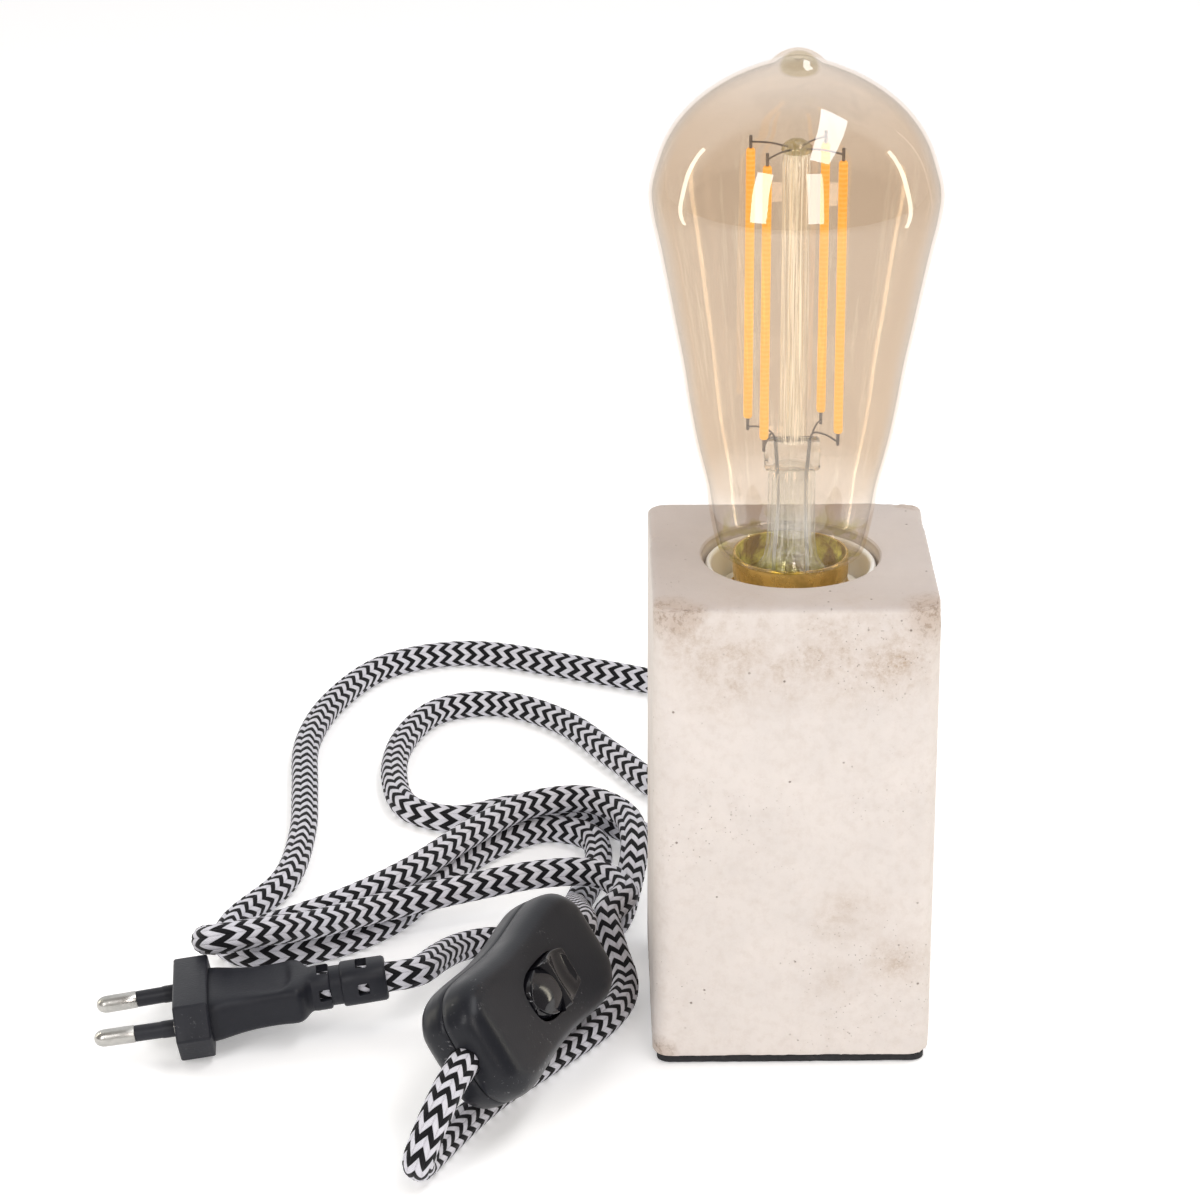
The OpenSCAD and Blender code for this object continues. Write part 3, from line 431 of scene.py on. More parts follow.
def coated_glass_paint(sizes):
    """Outside of the coated glass: lets a warm tint through, and mirrors more at its edges"""
    p = Paint("amber_glass", bare=True)
    edge = p.facing()
    x, y, z = p.split()
    # the coat is thin at the neck; the crown is painted paler as a painted reflection of the bright
    # ceiling, and the outline paler as a painted sheen
    neck = p.ramp(p.share(z, 20.0, -2.25), (0.0, 0.9), (0.25, 0.75), (0.42, 0.0))
    painted_crown_reflection = p.ramp(p.share(z, 50.0, -10.35), (0.0, 0.0), (0.4, 0.25), (0.8, 0.65))
    rim = p.ramp(edge, (0.55, 0), (0.72, 0.45), (0.85, 0.9), (1.0, 1.0))
    # bare neck, with the painted reflection on the crown and the painted sheen at the outline
    bare = p.math("MAXIMUM", p.math("MAXIMUM", neck, painted_crown_reflection), rim)
    uneven = p.ramp(p.cloud(26, 2, 0.5), (0.3, 0), (0.7, 1))
    tint = p.mix(bare, p.mix(uneven, sizes.tint, toned(sizes.tint, 1.015)), (0.965, 0.935, 0.91))
    # pale streaks down the lower sides: painted reflections of light
    turn = p.add("ShaderNodeCombineXYZ", {"X": p.math("ARCTAN2", y, x), "Y": p.times(z, 1.5)})
    runs = p.ramp(
        p.cloud(9, 4, 0.7, turn.outputs[0]),
        (0.56, 0), (0.60, 0.7), (0.62, 0.1), (0.68, 0), (0.70, 0.5),
    )
    below = p.ramp(p.share(z, 12.0, -1.45), (0.0, 0.3), (0.3, 1), (0.85, 1), (1.0, 0))
    tint = p.mix(p.times(runs, p.times(below, 0.55)), tint, (0.95, 0.90, 0.76))
    # the sealed tip is a small lens
    lens = p.ramp(p.times(p.away((0, -0.0045, 0.2262)), 100.0), (0.36, 1), (0.46, 0))
    tint = p.mix(lens, tint, (0.70, 0.62, 0.47))
    # yellow-green patches at the foot: painted reflections of the brass cap
    painted_cap_reflection = p.times(
        p.ramp(p.cloud(150, 3, 0.6), (0.46, 0), (0.58, 1)),
        p.ramp(p.share(z, 100.0, -11.35), (0.0, 1), (0.25, 0.8), (0.6, 0)),
    )
    tint = p.mix(p.times(painted_cap_reflection, 0.8), tint, (0.74, 0.70, 0.22))
    ripple = p.bump(p.cloud(55, 2, 0.4), 0.0004, 0.2)
    sheen = p.ramp(edge, (0.0, 0.09), (0.5, 0.095), (0.8, 0.11), (1.0, 0.14), smooth="EASE")
    return p.show(p.glass(sheen, tint, (1, 0.995, 0.985), 0.015, ripple))


def thin_glass_paint(name, tint, low, high, streaks=0.0):
    """Clear thin glass: nearly see-through, brighter where it turns away, with pale glowing streaks
    painted on as highlights
    """
    p = Paint(name, bare=True)
    edge = p.facing()
    shade = p.mix(p.ramp(edge, (0.6, 0), (1.0, 1)), tint, toned(tint, 0.8))
    share = p.ramp(edge, (0.0, low), (0.6, low * 1.3), (0.85, (low + high) / 2), (1.0, high))
    both = p.glass(share, shade, (0.97, 0.98, 1), 0.03)
    if streaks:
        # pale streaks with a glow: painted highlights
        painted_highlight_shader = p.add(
            "ShaderNodeBsdfPrincipled",
            {"Base Color": (0.97, 0.97, 0.92, 1), "Emission Color": (1, 1, 0.93, 1),
             "Emission Strength": 0.6, "Roughness": 0.4},
        )
        painted_highlight_streaks = p.ramp(
            p.cloud(430, 3, 0.6, p.mapped((1, 1, 0.012))),
            (0.42, 0), (0.45, streaks), (0.47, 0.05), (0.53, 0), (0.56, streaks), (0.58, 0.05),
            (0.65, 0), (0.68, streaks),
        )
        both = p.over(painted_highlight_streaks, both, painted_highlight_shader.outputs[0])
    return p.show(both)


def pinch_paint():
    """Clear pressed glass with a faint ripple"""
    p = Paint("pinch_glass")
    p.set(Base_Color=(0.97, 0.98, 0.97, 1), Roughness=0.0, IOR=1.48, Transmission_Weight=1.0)
    p.set(Normal=p.bump(p.cloud(420, 3, 0.6), 0.0003, 0.3))
    return p.mat


def cap_lining_paint():
    """Inside of the brass cap, with a painted warm glow standing in for light through the glass"""
    p = Paint("cap_lining")
    glow = p.ramp(p.cloud(170, 3, 0.6), (0.42, (0.30, 0.19, 0.05)), (0.58, (0.66, 0.60, 0.14)))
    p.set(Base_Color=glow, Roughness=0.4, Emission_Color=glow, Emission_Strength=0.30)
    return p.mat


def phosphor_paint(sizes):
    """Soft orange coating of a filament, a little translucent, with its row of chips; paler low
    down as a painted reflection of the floor, and with a painted glow
    """
    p = Paint("phosphor")
    z = p.split()[2]
    chips = p.math("PINGPONG", p.times(z, 1 / 0.0011), 0.5)
    chip = p.ramp(chips, (0.15, 0), (0.42, 1), smooth="EASE")
    lump = p.cloud(900, 3, 0.6)
    # deeper orange higher up, paler low down: a painted reflection of the white floor
    rise = p.ramp(p.share(z, 40.0, -7.4), (0, 0), (1, 1))
    tone = p.mix(rise, sizes.phosphor, (1.0, 0.42, 0.03))
    tone = p.mix(p.times(chip, 0.5), tone, (1.0, 0.66, 0.20))
    tone = p.mix(p.ramp(lump, (0.4, 0), (0.7, 0.4)), tone, (0.98, 0.60, 0.16))
    # the emission is a painted glow: the bulb is not lit
    p.set(Base_Color=tone, Roughness=0.55, Emission_Color=tone, Emission_Strength=0.62)
    p.set(Subsurface_Weight=0.3, Subsurface_Radius=(0.002, 0.001, 0.0004), Subsurface_Scale=0.5)
    p.set(Normal=p.bump(lump, 0.00008, 0.6))
    return p.mat


def braid_paint(sizes):
    """Two-coloured zigzag braid; UV runs in metres along the cord and in turns round it"""
    p = Paint("textile_braid")
    along, turn, _ = p.split(p.add("ShaderNodeUVMap", uv_map="UVMap").outputs[0])
    turns = p.times(turn, 2.0 * sizes.folds)
    fold = p.math("PINGPONG", turns, 1.0)
    phase = p.times_add(fold, 0.58, p.math("DIVIDE", along, sizes.row))
    phase = p.times_add(p.cloud(45, 2, 0.5), 0.12, phase)
    dark = p.ramp(p.math("FRACT", phase), (0.0, 0), (0.03, 1), (0.49, 1), (0.52, 0))
    # each row is a bundle of threads that run with the zigzag, painted lighter on their crests and
    # darker between: painted highlight and painted shade
    thread = p.math("SINE", p.times(phase, TURN * 8))
    fuzz = p.cloud(5200, 2, 0.6)
    shade = p.ramp(p.times_add(thread, 0.25, fuzz), (0.25, 0.0), (0.85, 1.0))
    light = p.mix(shade, (0.60, 0.60, 0.66), sizes.light)
    light = p.mix(p.ramp(p.cloud(130, 3, 0.6), (0.4, 0), (0.75, 0.35)), light, (0.74, 0.71, 0.75))
    black = p.mix(p.times(shade, 0.45), sizes.dark, (0.020, 0.019, 0.021))
    p.set(Base_Color=p.mix(dark, light, black))
    p.set(Roughness=p.mix(dark, (0.78,) * 3, (0.6,) * 3), Specular_IOR_Level=0.12)
    p.set(Sheen_Weight=0.04, Sheen_Roughness=0.4)
    groove = p.ramp(p.math("PINGPONG", turns, 0.5), (0.0, 0), (0.12, 1), smooth="EASE")
    edge = p.ramp(p.math("PINGPONG", phase, 0.25), (0.0, 0), (0.05, 1), smooth="EASE")
    height = p.times_add(thread, 0.16, p.times(groove, p.times_add(edge, 0.5, 0.5)))
    p.set(Normal=p.bump(height, 0.00022, 0.9))
    return p.mat


def insulation_paint(name, colour):
    """Soft wire insulation with a dull skin"""
    p = Paint(name)
    skin = p.cloud(800, 3, 0.6)
    p.set(Base_Color=p.mix(skin, colour, toned(colour, 0.7)))
    p.set(Roughness=p.ramp(skin, (0.3, 0.4), (0.7, 0.6)), Normal=p.bump(skin, 0.00004))
    return p.mat


def board_paint():
    """Circuit board with traces under its green mask"""
    p = Paint("circuit_board")
    traces = p.ramp(p.cells(420, "DISTANCE_TO_EDGE"), (0.03, 1), (0.06, 0))
    p.set(Base_Color=p.mix(traces, (0.02, 0.12, 0.05), (0.06, 0.25, 0.11)), Roughness=0.35)
    p.set(Normal=p.bump(traces, 0.00003))
    return p.mat


# ---------------------------------------------------------------- making meshes
def as_object(name, bm):
    """Makes a plain object of a bmesh, and frees the bmesh"""
    mesh = bpy.data.meshes.new(name)
    bm.to_mesh(mesh)
    bm.free()
    obj = bpy.data.objects.new(name, mesh)
    bpy.context.scene.collection.objects.link(obj)
    return obj


def finish_piece(name, bm, mats, body, nodes, sharp=35.0, cord=""):
    """Makes an object of a bmesh, seats it on its body and stands it in for CAD nodes"""
    obj = as_object(name, bm)
    mesh = obj.data
    for poly in mesh.polygons:
        poly.use_smooth = True
    mesh.set_sharp_from_angle(angle=math.radians(sharp))
    for mat in mats if isinstance(mats, (list, tuple)) else [mats]:
        mesh.materials.append(mat)
    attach(obj, body)
    if nodes:
        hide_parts(*nodes)
    if cord:
        obj["on_cord"] = cord
    return obj


def dress_node(node, mat):
    """Gives a CAD node that stays in view its finish"""
    mesh = frame["nodes"][node].data
    mesh.materials.clear()
    mesh.materials.append(mat)
    for poly in mesh.polygons:
        poly.material_index = 0


def spun(profile, steps, closed=False):
    """A bmesh made by spinning (radius, height) points in mm about Z"""
    bm = bmesh.new()
    verts = [bm.verts.new((r * MM, 0, z * MM)) for r, z in profile]
    pairs = list(zip(verts, verts[1:])) + ([(verts[-1], verts[0])] if closed else [])
    edges = [bm.edges.new(pair) for pair in pairs]
    bmesh.ops.spin(
        bm, geom=verts + edges, cent=(0, 0, 0), axis=(0, 0, 1), dvec=(0, 0, 0),
        angle=TURN, steps=steps, use_merge=True, use_duplicate=False,
    )
    bmesh.ops.remove_doubles(bm, verts=bm.verts, dist=WELD)
    bmesh.ops.dissolve_degenerate(bm, edges=bm.edges, dist=WELD)
    bmesh.ops.recalc_face_normals(bm, faces=bm.faces)
    return bm


def stepped(points, sizes):
    """Points on the lines through points, one step size for each line"""
    out = []
    for (a, b), size in zip(zip(points, points[1:]), sizes):
        a, b = Vector(a), Vector(b)
        n = max(1, round((b - a).length / size))
        out += [tuple(a.lerp(b, k / n)) for k in range(n)]
    out.append(tuple(points[-1]))
    return out


def eased(points, gap):
    """A smooth line through points in mm, as points about gap apart, and its length"""
    samples, smoothings = 24, 12
    pts = [Vector(p) for p in points]
    pts = [2 * pts[0] - pts[1]] + pts + [2 * pts[-1] - pts[-2]]
    dense = []
    for p0, p1, p2, p3 in zip(pts, pts[1:], pts[2:], pts[3:]):
        t1 = (p1 - p0).length ** 0.5
        t2 = t1 + (p2 - p1).length ** 0.5
        t3 = t2 + (p3 - p2).length ** 0.5
        for k in range(samples):
            t = t1 + (t2 - t1) * k / samples
            a1 = p0.lerp(p1, t / t1)
            a2 = p1.lerp(p2, (t - t1) / (t2 - t1))
            a3 = p2.lerp(p3, (t - t2) / (t3 - t2))
            b1 = a1.lerp(a2, t / t2)
            b2 = a2.lerp(a3, (t - t1) / (t3 - t1))
            dense.append(b1.lerp(b2, (t - t1) / (t2 - t1)))
    dense.append(pts[-2])
    for _ in range(smoothings):
        dense = (
            [dense[0], dense[1]]
            + [(a + 2 * b + c) / 4 for a, b, c in zip(dense[1:], dense[2:], dense[3:])]
            + [dense[-1]]
        )
    length = sum((b - a).length for a, b in zip(dense, dense[1:]))
    count = max(2, round(length / gap))
    out, i, run = [dense[0]], 0, 0.0
    for k in range(1, count):
        target = length * k / count
        while run + (dense[i + 1] - dense[i]).length < target:
            run += (dense[i + 1] - dense[i]).length
            i += 1
        step = (dense[i + 1] - dense[i]).length
        out.append(dense[i].lerp(dense[i + 1], (target - run) / step))
    out.append(dense[-1])
    return out, length


def skin(rows, sides, place, length=1.0):
    """A closed skin of rows of points; place(row, turn) gives each in mm. Its UV map holds metres
    along and turns round"""
    bm = bmesh.new()
    uv = bm.loops.layers.uv.new("UVMap")
    bmesh.ops.create_grid(bm, x_segments=rows - 1, y_segments=sides, size=0.5, calc_uvs=True)
    for face in bm.faces:
        for loop in face.loops:
            loop[uv].uv = ((loop.vert.co.x + 0.5) * length * MM, loop.vert.co.y + 0.5)
    for vert in bm.verts:
        row = round((vert.co.x + 0.5) * (rows - 1))
        vert.co = Vector(place(row, vert.co.y + 0.5)) * MM
    bmesh.ops.remove_doubles(bm, verts=bm.verts, dist=2 * WELD)
    bmesh.ops.dissolve_degenerate(bm, edges=bm.edges, dist=2 * WELD)
    bmesh.ops.holes_fill(bm, edges=[e for e in bm.edges if e.is_boundary], sides=0)
    bmesh.ops.recalc_face_normals(bm, faces=bm.faces)
    return bm


def tube(points, sides, radius_at, gap):
    """A closed tube along points in mm; radius_at(distance, turn) gives mm"""
    line, length = eased(points, gap)
    normal = Vector((0, 0.2, 1))
    rings = []
    for i, point in enumerate(line):
        along = (line[min(i + 1, len(line) - 1)] - line[max(i - 1, 0)]).normalized()
        normal = (normal - normal.dot(along) * along).normalized()
        rings.append((point, normal.copy(), along.cross(normal)))

    def place(row, turn):
        centre, n, side = rings[row]
        r = radius_at(length * row / (len(line) - 1), turn % 1.0)
        return centre + r * (math.cos(TURN * turn) * n + math.sin(TURN * turn) * side)

    return skin(len(line), sides, place, length), line, length


def seated(bm, at, turns):
    """Moves a bmesh made about the origin to its place: turns about X, Y and Z in degrees"""
    turn = Matrix.Identity(4)
    for angle, axis in zip(turns, "XYZ"):
        turn = Matrix.Rotation(math.radians(angle), 4, axis) @ turn
    bmesh.ops.transform(bm, matrix=Matrix.Translation(Vector(at) * MM) @ turn, verts=bm.verts)
    return bm


def moved(bm, at):
    """Moves a bmesh by a vector in mm"""
    bmesh.ops.translate(bm, verts=bm.verts, vec=Vector(at) * MM)
    return bm


def bevelled(bm, radius, steps):
    """Rounds every edge of a bmesh; the radius is in mm"""
    bmesh.ops.bevel(
        bm, geom=list(bm.edges), offset=radius * MM, segments=steps, profile=0.5,
        affect="EDGES", material=-1, clamp_overlap=True,
    )
    return bm


def rounded_box(size, centre, radius, steps):
    """A box with round edges, in mm"""
    bm = bmesh.new()
    bmesh.ops.create_cube(bm, size=1, matrix=Matrix.Diagonal((*(c * MM for c in size), 1)))
    return moved(bevelled(bm, radius, steps), centre)


def tagged(bm, number):
    """Gives every face of a bmesh one of its piece's materials"""
    for face in bm.faces:
        face.material_index = number
    return bm


def bar_between(a, b, radius, sides=48):
    """A plain round bar from a to b in mm, for cutting holes"""
    a, b = Vector(a), Vector(b)
    bm = bmesh.new()
    turn = Vector((0, 0, 1)).rotation_difference(b - a).to_matrix().to_4x4()
    bmesh.ops.create_cone(
        bm, cap_ends=True, segments=sides, radius1=radius * MM, radius2=radius * MM,
        depth=(b - a).length * MM, matrix=Matrix.Translation((a + b) / 2 * MM) @ turn,
    )
    return bm


def joined(*parts):
    """Several bmeshes as one"""
    first = parts[0]
    for part in parts[1:]:
        mesh = bpy.data.meshes.new("part")
        part.to_mesh(mesh)
        part.free()
        first.from_mesh(mesh)
        bpy.data.meshes.remove(mesh)
    return first


def cut_with(obj, *cutters, sharp=35.0):
    """Cuts a piece with bmeshes"""
    for bm in cutters:
        cutter = as_object("cutter", bm)
        change = obj.modifiers.new("cut", "BOOLEAN")
        change.operation = "DIFFERENCE"
        change.solver = "EXACT"
        change.object = cutter
        bpy.context.view_layer.update()
        graph = bpy.context.evaluated_depsgraph_get()
        new = bpy.data.meshes.new_from_object(obj.evaluated_get(graph))
        obj.modifiers.clear()
        used = (obj.data, cutter.data)
        obj.data = new
        bpy.data.objects.remove(cutter)
        for mesh in used:
            bpy.data.meshes.remove(mesh)
    obj.data.set_sharp_from_angle(angle=math.radians(sharp))


def stand(context, name, data, place, axes):
    """Stands a camera or a lamp at a place with its three axes"""
    obj = bpy.data.objects.new(name, data)
    context.scene.collection.objects.link(obj)
    obj.matrix_world = Matrix.Translation(place) @ Matrix(axes).transposed().to_4x4()
    return obj


# ---------------------------------------------------------------- operators
class LAMP_OT_camera(bpy.types.Operator):
    """Set the camera at the height and distance of a product photograph"""

    bl_idname = "lamp.camera"
    bl_label = "Camera"

    def execute(self, context):
        # fitted to the block, the bulb and the pins of the photograph
        yaw, pitch, roll = 0.0074, 0.3950, -0.0042
        place = (-0.0488876, -0.8235852, 0.445286)
        ahead = Vector(
            (math.sin(yaw) * math.cos(pitch), math.cos(yaw) * math.cos(pitch), -math.sin(pitch))
        )
        side = Vector((math.cos(yaw), -math.sin(yaw), 0))
        upright = side.cross(ahead)
        right = math.cos(roll) * side + math.sin(roll) * upright
        up = -math.sin(roll) * side + math.cos(roll) * upright
        data = bpy.data.cameras.new("camera")
        data.sensor_width = 36
        data.lens = 118.84
        data.clip_start = 0.05
        data.clip_end = 60
        context.scene.camera = stand(context, "camera", data, place, (right, up, -ahead))
        return {"FINISHED"}


class LAMP_OT_cord(bpy.types.Operator):
    """Lay the textile cord from the foot to the switch and on to the plug"""

    bl_idname = "lamp.cord"
    bl_label = "Textile cord"

    def execute(self, context):
        sizes = context.scene.lamp_cord
        mat = braid_paint(sizes)
        radius = sizes.diameter / 2 / MM
        bulge = 0.58  # how far a row runs ahead at the middle of a fold, in rows

        def braid(away, turn):
            fold = abs((turn * 2 * sizes.folds) % 2 - 1)
            phase = away * MM / sizes.row + bulge * (1 - fold)
            leg = abs((turn * 2 * sizes.folds) % 1 - 0.5) * 2
            return radius - 0.10 * leg**4 - 0.07 * (1 + math.cos(2 * TURN * phase)) / 2

        for name, route, node, far_end in (
            ("lamp_flex", LAMP_ROUTE, "cord_lamp", "fitting"),
            ("plug_flex", PLUG_ROUTE, "cord_plug", "plug"),
        ):
            bm, line, reach = tube(route, 48, braid, 0.7)
            obj = finish_piece(name, bm, mat, "foot", [node], sharp=60)
            obj["far_end"] = far_end
            obj["route"] = [c * MM for p in line[:-3:6] + [line[-1]] for c in p]
            obj["reach"] = reach * MM
        return {"FINISHED"}


class LAMP_OT_declare_cord(bpy.types.Operator):
    bl_idname = "lamp.declare_cord"
    bl_label = "Cord lengths"

    def execute(self, context):
        carried = {"bush": [], "switch": [], "plug": []}
        for obj in bpy.data.objects:
            if obj.get("on_cord"):
                carried[obj["on_cord"]].append(obj)
                del obj["on_cord"]
        on_lamp_flex = carried["bush"] + carried["switch"]
        for name, others in (("lamp_flex", on_lamp_flex), ("plug_flex", carried["plug"])):
            obj = bpy.data.objects[name]
            for key in ("route", "reach", "far_end"):
                del obj[key]
        return {"FINISHED"}


# place, size and depth of each chip in the edges of the block, in mm
CHIPS = (
    (-28.5, -31, 112.5, 6.0, 1.2), (-22.5, -31.5, 113, 4.5, 0.8), (30, -30.5, 113, 6.0, 1.3),
    (31, 20, 113, 5, 0.7), (-31, 10, 113, 4, 0.5), (26, 31, 113, 6, 0.9),
    (-12, -31.5, 2.5, 3, 0.6), (9, -31.5, 2.5, 2.5, 0.5), (-31.5, -24, 2.5, 3.5, 0.6),
    (31, -30.5, 3, 4, 0.7),
)


def square_reach(angle, half, corner):
    """Distance from the middle of a square with round corners to its outline"""
    c, s = abs(math.cos(angle)), abs(math.sin(angle))
    if c < s:
        c, s = s, c
    if half * s / c <= half - corner:
        return half / c
    middle = half - corner
    along = middle * (c + s)
    return along + math.sqrt(max(0, along * along - 2 * middle * middle + corner * corner))


def squared(bm, grown):
    """Pushes a round bmesh out to a square; grown(r, angle, point) gives the new radius in mm"""
    for vert in bm.verts:
        point = vert.co / MM
        r = math.hypot(point.x, point.y)
        angle = math.atan2(point.y, point.x)
        new = grown(r, angle, point)
        vert.co = Vector((new * math.cos(angle), new * math.sin(angle), point.z)) * MM
    bmesh.ops.recalc_face_normals(bm, faces=bm.faces)


def worn_away(at, half, top, level):
    """How far the cast surface lies back from its true plane at a point, in mm"""
    wave = 0.10 * noise.noise(at * 0.05) + 0.05 * noise.noise(at * 0.22)
    edge = max(0.0, 1 - max(0, top - at.z) / 3.2)
    low = max(0.0, 1 - (at.z - 2) / 2.5)
    side_edge = max(0.0, 1 - (half - max(abs(at.x), abs(at.y))) / 3.0) if level else 1.0
    crumb = max(0.0, noise.fractal(at * 0.55, 0.8, 2.1, 4) - 0.12)
    crisp = 0.22 * (edge * side_edge) * crumb
    for cx, cy, cz, size, deep in CHIPS:
        gone = 1 - (at - Vector((cx, cy, cz))).length / size
        if gone > 0:
            rough = 0.35 + max(0, noise.fractal(at * 0.8, 0.8, 2.1, 4) + 0.25)
            crisp += deep * gone * rough
    crisp += 0.25 * low * max(0.0, noise.fractal(at * 0.5 + Vector((9, 3, 5)), 0.8, 2.1, 3))
    return max(0, wave) * 0.8 + crisp


class LAMP_OT_foot(bpy.types.Operator):
    """Cast the concrete block with its bore, its hollow and its worn edges"""

    bl_idname = "lamp.foot"
    bl_label = "Concrete foot"

    def execute(self, context):
        sizes = context.scene.lamp_concrete
        half, corner = sizes.width / 2 / MM, sizes.corner / MM
        top = sizes.top / MM
        profile = stepped(
            [
                (5.6, 31), (5.6, 53), (20, 53), (20, top - 6), (20, top - 0.5), (20.4, top - 0.1),
                (21, top), (half - 1.5, top), (half - 0.6, top - 0.25), (half - 0.15, top - 0.7),
                (half, top - 1.3), (half, top - 9), (half, 8), (half, 3), (half - 0.4, 2.3),
                (half - 1.2, 2), (24.6, 2), (24, 2.6), (24, 31), (5.6, 31),
            ],
            [
                6, 3, 3, 0.7, 0.5, 0.5, 0.75, 0.4, 0.3, 0.3, 0.45, 1.05, 0.6, 0.4, 0.5, 1.2, 0.5,
                5, 5,
            ],
        )[:-1]
        bm = spun(profile, 320, closed=True)

        def grown(r, angle, point):
            inner = 24.6 if point.z < 30 else 21
            share = min(1, max(0, (r - inner) / (half - 1.5 - inner)))
            share = share * share * (3 - 2 * share)
            return r + share * (square_reach(angle, half, corner) - half)

        squared(bm, grown)
        bm.normal_update()
        moves = []
        for vert in bm.verts:
            at = vert.co / MM
            outside = max(abs(at.x), abs(at.y)) > half - 0.05 and at.z > 2.4
            level = at.z > top - 0.05
            near_side = math.hypot(at.x, at.y) > 26 and at.z > 2.05
            seen = outside or level or near_side
            moves.append(-worn_away(at, half, top, level) if seen else 0.0)
        for vert, move in zip(bm.verts, moves):
            vert.co += vert.normal * move * MM
        obj = finish_piece(
            "cast_block", bm, concrete_paint(sizes), "foot", ["concrete_body"], 50
        )
        cut_with(obj, bar_between((0, 19, CORD_EXIT), (0, 45, CORD_EXIT), 5.02, 64))
        return {"FINISHED"}


class LAMP_OT_pad(bpy.types.Operator):
    """Stick the black pad under the block"""

    bl_idname = "lamp.pad"
    bl_label = "Base pad"

    def execute(self, context):
        half = 30.5
        profile = stepped(
            [(0, 0), (30, 0), (half, 0.35), (half, 1.75), (30.2, 2), (0, 2)],
            [3, 0.3, 0.5, 0.3, 3],
        )
        bm = spun(profile, 256)

        def grown(r, angle, point):
            share = r / half
            new = r + share * share * (square_reach(angle, half, 3) - half)
            return new - (0.35 * abs(noise.noise(point * 0.35)) if r > 29 else 0)

        squared(bm, grown)
        finish_piece("foot_pad", bm, rubber_paint(), "foot", ["base_pad"])
        return {"FINISHED"}


class LAMP_OT_holder(bpy.types.Operator):
    """Set the white lampholder in the block, and finish the works that stay in view"""

    bl_idname = "lamp.holder"
    bl_label = "Lampholder"

    def execute(self, context):
        white = moulded_paint("holder_white", (0.86, 0.84, 0.79), 0.38)
        bm = spun(
            [
                (16.2, 62), (17.7, 62), (17.7, 68), (19.2, 68), (19.2, 109.9), (19.1, 110.5),
                (18.8, 110.9), (18.45, 111), (18.1, 110.85), (17.85, 110.5), (17.7, 110),
                (17.7, 70), (16.2, 70),
            ],
            160, closed=True,
        )
        finish_piece("holder_rim", bm, white, "foot", ["holder_shell"])
        for mat, nodes in (
            (white, "holder_dome holder_insert"),
            (
                metal_paint("zinc_steel", (0.62, 0.62, 0.64), 0.3),
                "shelf_washer lock_nut nipple grip_screws terminal_screws shell_screws "
                "block_screws clamp_screws rocker_spring tip_contact",
            ),
            (
                metal_paint("brass", (0.80, 0.58, 0.24), 0.24, (0.42, 0.27, 0.08)),
                "screw_sleeve sleeve_rivets centre_contact contact_rivet terminal_live "
                "terminal_neutral contact_bar contact_common contact_fixed",
            ),
            (
                moulded_paint("grip_grey", (0.20, 0.20, 0.21), 0.5),
                "grip_lower grip_upper clamp_near clamp_far plunger",
            ),
            (
                insulation_paint("brown_wire", (0.16, 0.06, 0.02)),
                "lead_live switch_live_in switch_live_out",
            ),
            (insulation_paint("blue_wire", (0.03, 0.09, 0.35)), "lead_neutral switch_neutral"),
            (board_paint(), "driver_board"),
        ):
            for node in nodes.split():
                dress_node(node, mat)
        return {"FINISHED"}


GLASS_OUTLINE = [
    (12.9, 113.9), (14.6, 113.85), (16, 114.4), (17.2, 118), (18.4, 124), (19.3, 130),
    (21.6, 139.4), (23.4, 148.8), (24.8, 158), (26.6, 167.3), (28.3, 176.4), (30.1, 185.5),
    (31.5, 192), (32, 197.5), (30.6, 203.4), (29, 207.8), (26.4, 212.2), (22.4, 216.6),
    (16.4, 221), (9.6, 224.4), (6.6, 225.6), (4.6, 227.4), (2.2, 228.6), (0, 229),
]


def blown_glass(wall):
    """The glass with its neck in the cap; its inner faces take the second material"""
    line, _ = eased([(r, 0, z) for r, z in GLASS_OUTLINE], 0.9)
    outer = [(max(0, p.x), p.z) for p in line]
    outer[-1] = GLASS_OUTLINE[-1]
    inner = []
    for (r0, z0), (r1, z1) in zip(outer, outer[1:]):
        dr, dz = r1 - r0, z1 - z0
        size = math.hypot(dr, dz)
        thick = wall * (1 + 2.2 * max(0, 1 - r0 / 9) ** 2)
        inner.append((max(0, (r0 + r1) / 2 - dz / size * thick), (z0 + z1) / 2 + dr / size * thick))
    inner = [q for q in inner if q[0] > 0.4 and q[1] > 113.2] + [(0, 229 - 3.0)]
    neck = [(11.4, 106), (12.4, 106), (12.4, 113.2)]
    back = [(12.2, 114.6), (11.4, 112.9)]
    bm = spun(neck + outer + inner[::-1] + back, 160, closed=True)
    for face in bm.faces:
        away = face.calc_center_median() - Vector((0, 0, 0.19))
        face.material_index = 1 if face.normal.dot(away) < 0 else 0
    return bm


def rolled_cap():
    """The brass cap with its rolled thread; its inner faces take the second material"""
    pitch, low, high = 3.629, 92.8, 108.2
    rows = stepped(
        [
            (8.5, 91), (11.5, 91), (12.5, 92.2), (12.75, 93), (12.75, 107.6), (12.9, 108.4),
            (13.0, 109), (13.0, 113), (12.85, 113.5), (12.4, 113.5), (12.4, 93.4), (11.2, 91.8),
            (8.5, 91.7),
        ],
        [1, 0.5, 0.4, 0.36, 0.4, 0.4, 0.5, 0.3, 0.4, 0.8, 1, 1],
    )
    bm = spun(rows + [(8.5, 91.35)], 160, closed=True)
    for vert in bm.verts:
        x, y, z = vert.co / MM
        r = math.hypot(x, y)
        if r > 12.6 and low < z < high:
            turn = math.atan2(y, x) / TURN
            fade = min(1, (z - low) / 1.5, (high - z) / 1.5)
            grown = 12.72 + 0.33 * fade * math.sin(TURN * ((z - 91) / pitch - turn))
            vert.co.x *= grown / r
            vert.co.y *= grown / r
    for face in bm.faces:
        at = face.calc_center_median()
        out = face.normal.x * at.x + face.normal.y * at.y
        face.material_index = 1 if out < -1e-5 else 0
    return bm


